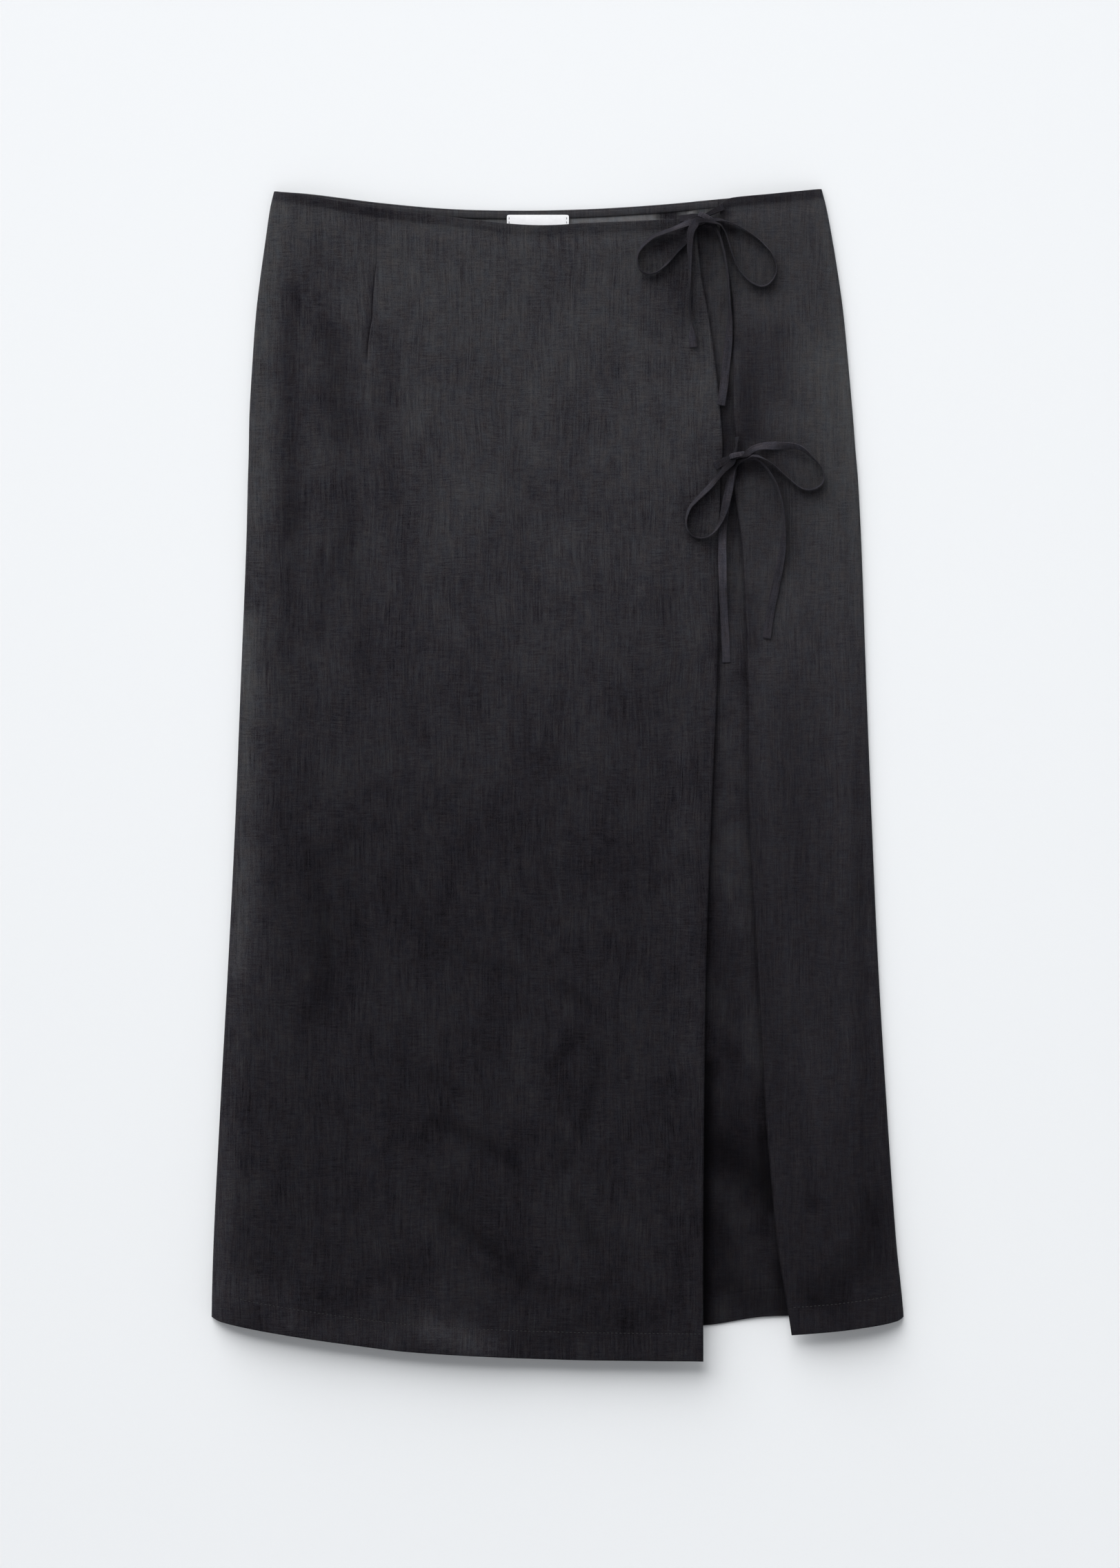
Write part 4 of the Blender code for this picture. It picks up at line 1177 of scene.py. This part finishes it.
def rings_mesh(name, places, across, upward, widths, walls, shades, closed=False):
    """Joins a tape outline's copies along some places. Its UV map is the tape unrolled."""
    top = np.array(TAPE_TOP) / PERCENT
    outline = np.vstack([top, -top * (1, 0.9)])
    count, sides = len(places), len(outline)
    reach = outline[:, 0][None, :, None] * across[:, None] * widths[:, None, None] / 2
    rise = outline[:, 1][None, :, None] * upward[:, None] * walls[:, None, None] / 2
    points = (places[:, None] + reach + rise).reshape(-1, 3)
    done = run_of(np.vstack([places, places[:1]]))
    real = outline * (widths.mean() / 2, walls.mean() / 2)
    round_it = run_of(np.vstack([real, real[:1]]))
    faces = []
    unrolled = []
    for i in range(count if closed else count - 1):
        j = (i + 1) % count
        for k in range(sides):
            m = (k + 1) % sides
            faces.append((i * sides + k, i * sides + m, j * sides + m, j * sides + k))
            low, high = done[i], done[i + 1]
            near, far = round_it[k], round_it[k + 1]
            unrolled += [(near, low), (far, low), (far, high), (near, high)]
    if not closed:
        for i in (0, count - 1):
            faces.append(tuple(i * sides + k for k in range(sides)))
            unrolled += [(real[k, 0], done[i] + real[k, 1]) for k in range(sides)]
    mesh = bpy.data.meshes.new(name)
    mesh.from_pydata(points.tolist(), [], faces)
    layer = mesh.uv_layers.new(name="length")
    layer.data.foreach_set("uv", np.ravel(unrolled))
    give_shade(mesh, np.repeat(shades, sides))
    piece = bpy.data.objects.new(name, mesh)
    bpy.context.scene.collection.objects.link(piece)
    with editing(piece, "SELECT"):
        bpy.ops.mesh.normals_make_consistent(inside=False)
    bpy.ops.object.shade_smooth()
    return piece


def make_ties(finish):
    """The tapes, bunched at the knots, slightly uneven, and flatter at their ends, with painted light and
    shade.
    """
    for rank, (name, places, tips, tones) in enumerate(lay_ties()):
        done = run_of(places)
        length = done[-1]
        near = from_knots(places)
        bunched = soft(near, 0.0060)
        wander = uneven(done, np.full(len(done), rank * 3.7), 0.012, 1.0, 61.0)
        widths = sizes().tape * (1 - 0.50 * bunched + 0.04 * wander)
        walls = sizes().tape_wall * (1 + 0.35 * bunched + 0.12 * np.roll(wander, 7))
        ends = np.minimum(done, length - done)
        walls *= 0.40 + 0.60 * smooth(ends / 0.0060 + 0.1)
        walls *= 1 - 0.55 * smooth((PRESSED_FLAT.get(name, -1.0) + done - length) / 0.020)
        tips = moving(tips, 3)
        tips = tips + math.radians(3) * uneven(done, done * 0 + rank, 0.018, 1.0, 71.0)
        places[:, 2] = moving(moving(places[:, 2], 6), 6)
        # The tapes are darker at the waist bow than lower down.
        shades = tones * (0.84 + 0.20 * smooth((0.36 - places[:, 1]) / 0.12))
        # Painted shade: darker near the knots, where the tapes gather into them.
        shades *= 1 - 0.45 * soft(near, 0.015)
        # Painted light and shade from the tie strokes.
        shades *= shade_at(TIE_PAINTED_SHADES, places[:, 0], places[:, 1])
        shades *= 1 + 0.12 * uneven(done, done * 0 + rank * 1.7, 0.030, 1.0, 83.0)
        piece = tape_mesh(name, places, tips, widths, walls, shades)
        finish_piece(piece, name, TIES[name], "tie_tape", finish)
        piece["length"] = float(length)
        piece["path"] = [float(v) for v in places.ravel()]


def make_knot(knot, finish):
    """A lump of gathered tape with one turn of tape round it."""
    low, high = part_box(knot.node)
    middle = Vector([(a + b) / 2 for a, b in zip(low, high)])
    turn = math.radians(knot.turn)
    half = Vector((knot.length * 0.42, knot.width * 0.51, knot.height * 0.40))
    only()
    bpy.ops.mesh.primitive_cube_add(size=1.0)
    lump = bpy.context.object
    lump.scale = half * 2
    lump.location = middle
    lump.rotation_euler.z = turn
    bpy.ops.object.transform_apply(location=True, rotation=True, scale=True)
    with editing(lump, "SELECT"):
        bpy.ops.mesh.subdivide(number_cuts=9, smoothness=0.0)
    axis = Vector((math.cos(turn), math.sin(turn), 0))
    side = Vector((-axis.y, axis.x, 0))
    mesh = lump.data
    for vertex in mesh.vertices:
        away = vertex.co - middle
        u, v, w = away.dot(axis) / half.x, away.dot(side) / half.y, away.z / half.z
        size = max((abs(u) ** 3 + abs(v) ** 3 + abs(w) ** 3) ** (1 / 3), 1e-6)
        crease = 0.07 * math.sin(9 * v + 3 * u + 2 * w)
        crease += 0.05 * noise.noise(Vector((u * 2, v * 4, w * 2 + knot.x * 90)))
        wide = max(abs(u), abs(v), abs(w)) / size * (1 + crease)
        vertex.co = middle + axis * (u * half.x * wide) + side * (v * half.y * wide)
        vertex.co.z = middle.z + w * half.z * wide
    # Painted shade: the gathered lump is darker, as it lies in shade under its band.
    give_shade(mesh, np.full(len(mesh.vertices), 0.50))
    mesh.uv_layers.active.name = "length"
    spots = [mesh.vertices[loop.vertex_index].co.xy for loop in mesh.loops]
    mesh.uv_layers.active.data.foreach_set("uv", np.ravel(spots))
    bpy.ops.object.shade_smooth()

    angles = np.linspace(0, math.tau, 44, endpoint=False)
    cosines, sines = np.cos(angles), np.sin(angles)
    reach, rise = knot.length * 0.47, knot.height * 0.47
    flat = np.sign(cosines) * np.abs(cosines) ** 0.8
    tall = np.sign(sines) * np.abs(sines) ** 0.8
    places = np.array(middle) + np.outer(flat * reach, axis) + np.outer(0.0006 * sines, side)
    places[:, 2] += tall * rise
    outward = np.outer(cosines / reach, axis)
    outward[:, 2] += sines / rise
    outward /= np.linalg.norm(outward, axis=1)[:, None]
    across = np.tile(np.array(side), (len(angles), 1))
    widths = 0.0033 * (1 + 0.10 * sines + 0.05 * np.sin(3 * angles + 1))
    walls = np.full(len(angles), 0.0009)
    # Painted highlight: the band is lighter, as it lies on top in the light.
    shades = np.full(len(angles), 1.9)
    band = rings_mesh("band", places, across, outward, widths, walls, shades, closed=True)
    only(lump, band)
    bpy.ops.object.join()
    finish_piece(lump, knot.piece, (knot.node,), "tie_tape", finish)


# --- stitching ---------------------------------------------------------------


def one_stitch():
    """A short thread with rounded ends, bowed up in its middle, lying along X."""
    length, radius = sizes().stitch, 0.00022
    only()
    bpy.ops.mesh.primitive_cylinder_add(
        vertices=6, radius=radius, depth=length, rotation=(0, math.pi / 2, 0)
    )
    stitch = bpy.context.object
    bpy.ops.object.transform_apply(location=True, rotation=True, scale=True)
    with editing(stitch, "SELECT"):
        for place in (-0.34, 0.0, 0.34):
            bpy.ops.mesh.bisect(plane_co=(place * length, 0, 0), plane_no=(1, 0, 0))
            bpy.ops.mesh.select_all(action="SELECT")
    for vertex in stitch.data.vertices:
        share = abs(vertex.co.x) / (length / 2)
        round_end = 0.45 if share > 0.9 else 1.0
        vertex.co.y *= round_end
        vertex.co.z = vertex.co.z * round_end - radius * share**2
    bpy.ops.object.shade_smooth()
    return stitch


def stitch_rows(name, rows, finish):
    """Copies of one stitch along some rows of (x, y, z) places, joined as one piece."""
    pattern = one_stitch()
    pitch = sizes().stitch_pitch
    copies = []
    for row in rows:
        row = np.array(row)
        done = run_of(row)
        for number, place in enumerate(np.arange(pitch / 2, done[-1], pitch)):
            here = [np.interp(place, done, row[:, k]) for k in range(3)]
            there = [np.interp(place + 0.0004, done, row[:, k]) for k in range(3)]
            copy = pattern.copy()
            copy.data = pattern.data.copy()
            bpy.context.scene.collection.objects.link(copy)
            copy.location = here
            turn = math.atan2(there[1] - here[1], there[0] - here[0])
            copy.rotation_euler.z = turn + 0.06 * math.sin(number * 2.4)
            copies.append(copy)
    bpy.data.objects.remove(pattern)
    only(*copies)
    bpy.ops.object.join()
    bpy.ops.object.transform_apply(location=True, rotation=True, scale=True)
    finish_piece(bpy.context.object, name, (), None, finish)


def surface_row(piece_name, xs, ys):
    """Places on a piece's upper side."""
    row = []
    for x, y in zip(xs, ys):
        hit, place, _, _ = bpy.data.objects[piece_name].ray_cast((x, y, 0.06), (0, 0, -1))
        if hit:
            row.append((x, y, place.z + 0.00005))
    return row


def make_stitching(finish):
    """Stitches along both fronts' hems and across both ends of the label."""
    for name, front, xs in (
        ("wide_hem_stitches", WIDE, np.linspace(-0.236, 0.103, 400)),
        ("narrow_hem_stitches", NARROW, np.linspace(0.170, 0.246, 100)),
    ):
        row = surface_row(front.name, xs, edge(front.hem, xs) + sizes().hem_turn)
        stitch_rows(name, [row], finish)
    low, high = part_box("label")
    ys = np.linspace(low[1] + 0.001, high[1] - 0.001, 20)
    ends = (low[0] + 0.0016, high[0] - 0.0016)
    rows = [surface_row("blank_label", np.full(20, x), ys) for x in ends]
    stitch_rows("label_stitches", rows, finish)


# --- the stage ---------------------------------------------------------------


def make_surface():
    only()
    bpy.ops.mesh.primitive_plane_add(size=120.0, location=(0, 0, -0.0003))
    floor = bpy.context.object
    bpy.ops.object.transform_apply(location=True, rotation=True, scale=True)
    floor.name = floor.data.name = "surface"
    floor.data.materials.append(surface_finish(colours().surface))


def make_light():
    """A broad soft light from the waist side, a nearer soft one, and the room's own light."""
    bpy.ops.object.light_add(type="SUN", location=(-0.5, 2.0, 2.0))
    sun = bpy.context.object
    sun.name = sun.data.name = "broad_light"
    sun.data.energy = 3.43
    sun.data.angle = math.radians(60)
    height = math.radians(26)
    towards = Vector((-0.42, 0.91, 0.0)).normalized() * math.cos(height)
    towards.z = math.sin(height)
    sun.rotation_euler = towards.to_track_quat("Z", "Y").to_euler()
    bpy.ops.object.light_add(type="AREA", location=(-0.10, 0.90, 2.10))
    near = bpy.context.object
    near.name = near.data.name = "near_light"
    near.data.shape = "RECTANGLE"
    near.data.size = 1.2
    near.data.size_y = 0.6
    near.data.energy = 9.4
    aim = Vector((0.0, 0.25, 0.0)) - near.location
    near.rotation_euler = aim.to_track_quat("-Z", "Y").to_euler()

    room = bpy.data.worlds.new("room")
    bpy.context.scene.world = room
    room.use_nodes = True
    tree = room.node_tree
    direction = node(tree, "TexCoord", {}, "Generated")
    height = node(tree, "SeparateXYZ", {"Vector": direction}, "Z")
    sky = tree.nodes.new("ShaderNodeValToRGB")
    wire(tree, sky, {"Fac": height})
    stops = sky.color_ramp.elements
    # How light the sky is, from level with the surface to overhead.
    for place, value in (
        (0.0, 0.47),
        (0.04, 0.62),
        (0.15, 0.80),
        (0.35, 0.62),
        (0.55, 0.38),
        (0.75, 0.08),
        (0.95, 0.03),
    ):
        stop = stops[0] if place == 0 else stops.new(place)
        stop.color = (value * 0.975, value * 0.99, value * 1.015, 1.0)
    stops.remove(stops[-1])
    wire(tree, tree.nodes["Background"], {"Color": sky.outputs["Color"], "Strength": 1.67})
    view = bpy.context.scene.view_settings
    view.view_transform = "Standard"
    view.look = "None"
    view.exposure = 0.0
    view.gamma = 1.0


def make_camera():
    """Straight above the skirt, as the photograph was taken."""
    distance, seen_height = 3.6, 1.137
    bpy.ops.object.camera_add(location=(0.00175, -0.00700, 3.606), rotation=(0, 0, 0))
    camera = bpy.context.object
    camera.name = camera.data.name = "camera"
    camera.data.sensor_fit = "VERTICAL"
    camera.data.sensor_height = 36.0
    camera.data.lens = 36.0 * distance / seen_height
    camera.data.clip_end = 200.0
    camera.data.dof.use_dof = False
    bpy.context.scene.camera = camera


# --- tools -------------------------------------------------------------------


class SKIRT_OT_stage(bpy.types.Operator):
    """Adds the surface, the soft light and the camera"""

    bl_idname = "skirt.stage"
    bl_label = "Stage and camera"

    def execute(self, context):
        make_camera()
        make_light()
        make_surface()
        return {"FINISHED"}


class SKIRT_OT_ties(bpy.types.Operator):
    """Lays the four tie tapes along their bows"""

    bl_idname = "skirt.ties"
    bl_label = "Ties"

    def execute(self, context):
        tie = colours().tie
        make_ties(linen("tie_tape_linen", tie, tie, on_tape=True, slub=0.8))
        return {"FINISHED"}


class SKIRT_OT_knots(bpy.types.Operator):
    """Ties the knot in the middle of each bow"""

    bl_idname = "skirt.knots"
    bl_label = "Knots"

    def execute(self, context):
        for knot in KNOTS:
            make_knot(knot, bpy.data.materials["tie_tape_linen"])
        return {"FINISHED"}


class SKIRT_OT_panels(bpy.types.Operator):
    """Lays the back panel and the two fronts"""

    bl_idname = "skirt.panels"
    bl_label = "Panels"

    def execute(self, context):
        tones = colours().linen, colours().lit
        make_back_panel(linen("back_linen", *tones, slub=0.75, coarse=2.5))
        make_front(WIDE, linen("charcoal_linen", *tones))
        make_front(NARROW, linen("narrow_front_linen", *tones, slub=0.78, coarse=0.5))
        return {"FINISHED"}


class SKIRT_OT_binding(bpy.types.Operator):
    """Sews the binding strip to the inside of the back waist"""

    bl_idname = "skirt.binding"
    bl_label = "Waist binding"

    def execute(self, context):
        make_binding(linen("binding_linen", colours().linen, colours().lit, slub=0.7))
        return {"FINISHED"}


class SKIRT_OT_label(bpy.types.Operator):
    """Adds the blank label"""

    bl_idname = "skirt.label"
    bl_label = "Blank label"

    def execute(self, context):
        make_label(label_cloth(colours().label))
        return {"FINISHED"}


class SKIRT_OT_stitching(bpy.types.Operator):
    """Sews the hems and the label's ends"""

    bl_idname = "skirt.stitching"
    bl_label = "Stitching"

    def execute(self, context):
        make_stitching(thread_finish(colours().thread))
        return {"FINISHED"}


class VIEW3D_PT_skirt(bpy.types.Panel):
    """Sizes, colours and tools of the linen wrap skirt"""

    bl_label = "Linen wrap skirt"
    bl_space_type = "VIEW_3D"
    bl_region_type = "UI"
    bl_category = "Skirt"

    def draw(self, context):
        layout = self.layout
        for settings in (sizes(), colours()):
            box = layout.box()
            for name in settings.bl_rna.properties.keys():
                if name not in ("rna_type", "name"):
                    box.prop(settings, name)
        for tool in TOOLS:
            layout.operator(tool.bl_idname)


TOOLS = (
    SKIRT_OT_stage,
    SKIRT_OT_ties,
    SKIRT_OT_knots,
    SKIRT_OT_panels,
    SKIRT_OT_binding,
    SKIRT_OT_label,
    SKIRT_OT_stitching,
)
CLASSES = (SkirtSizes, SkirtColours, *TOOLS, VIEW3D_PT_skirt)


def declare_soft_goods():
    """Reads each tie's path, and takes its path and length off the piece."""
    pieces = bpy.data.objects
    for name in TIES:
        piece = pieces[name]
        path = np.array(piece["path"]).reshape(-1, 3)
        del piece["path"], piece["length"]


def register():
    for made in CLASSES:
        bpy.utils.register_class(made)
    bpy.types.Scene.skirt_sizes = bpy.props.PointerProperty(type=SkirtSizes)
    bpy.types.Scene.skirt_colours = bpy.props.PointerProperty(type=SkirtColours)


def unregister():
    del bpy.types.Scene.skirt_colours
    del bpy.types.Scene.skirt_sizes
    for made in reversed(CLASSES):
        bpy.utils.unregister_class(made)


def main():
    register()
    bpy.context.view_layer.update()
    bpy.ops.skirt.stage()
    bpy.ops.skirt.ties()
    bpy.ops.skirt.knots()
    bpy.ops.skirt.panels()
    bpy.ops.skirt.binding()
    bpy.ops.skirt.label()
    bpy.ops.skirt.stitching()
    declare_soft_goods()


if __name__ == "__main__":
    main()
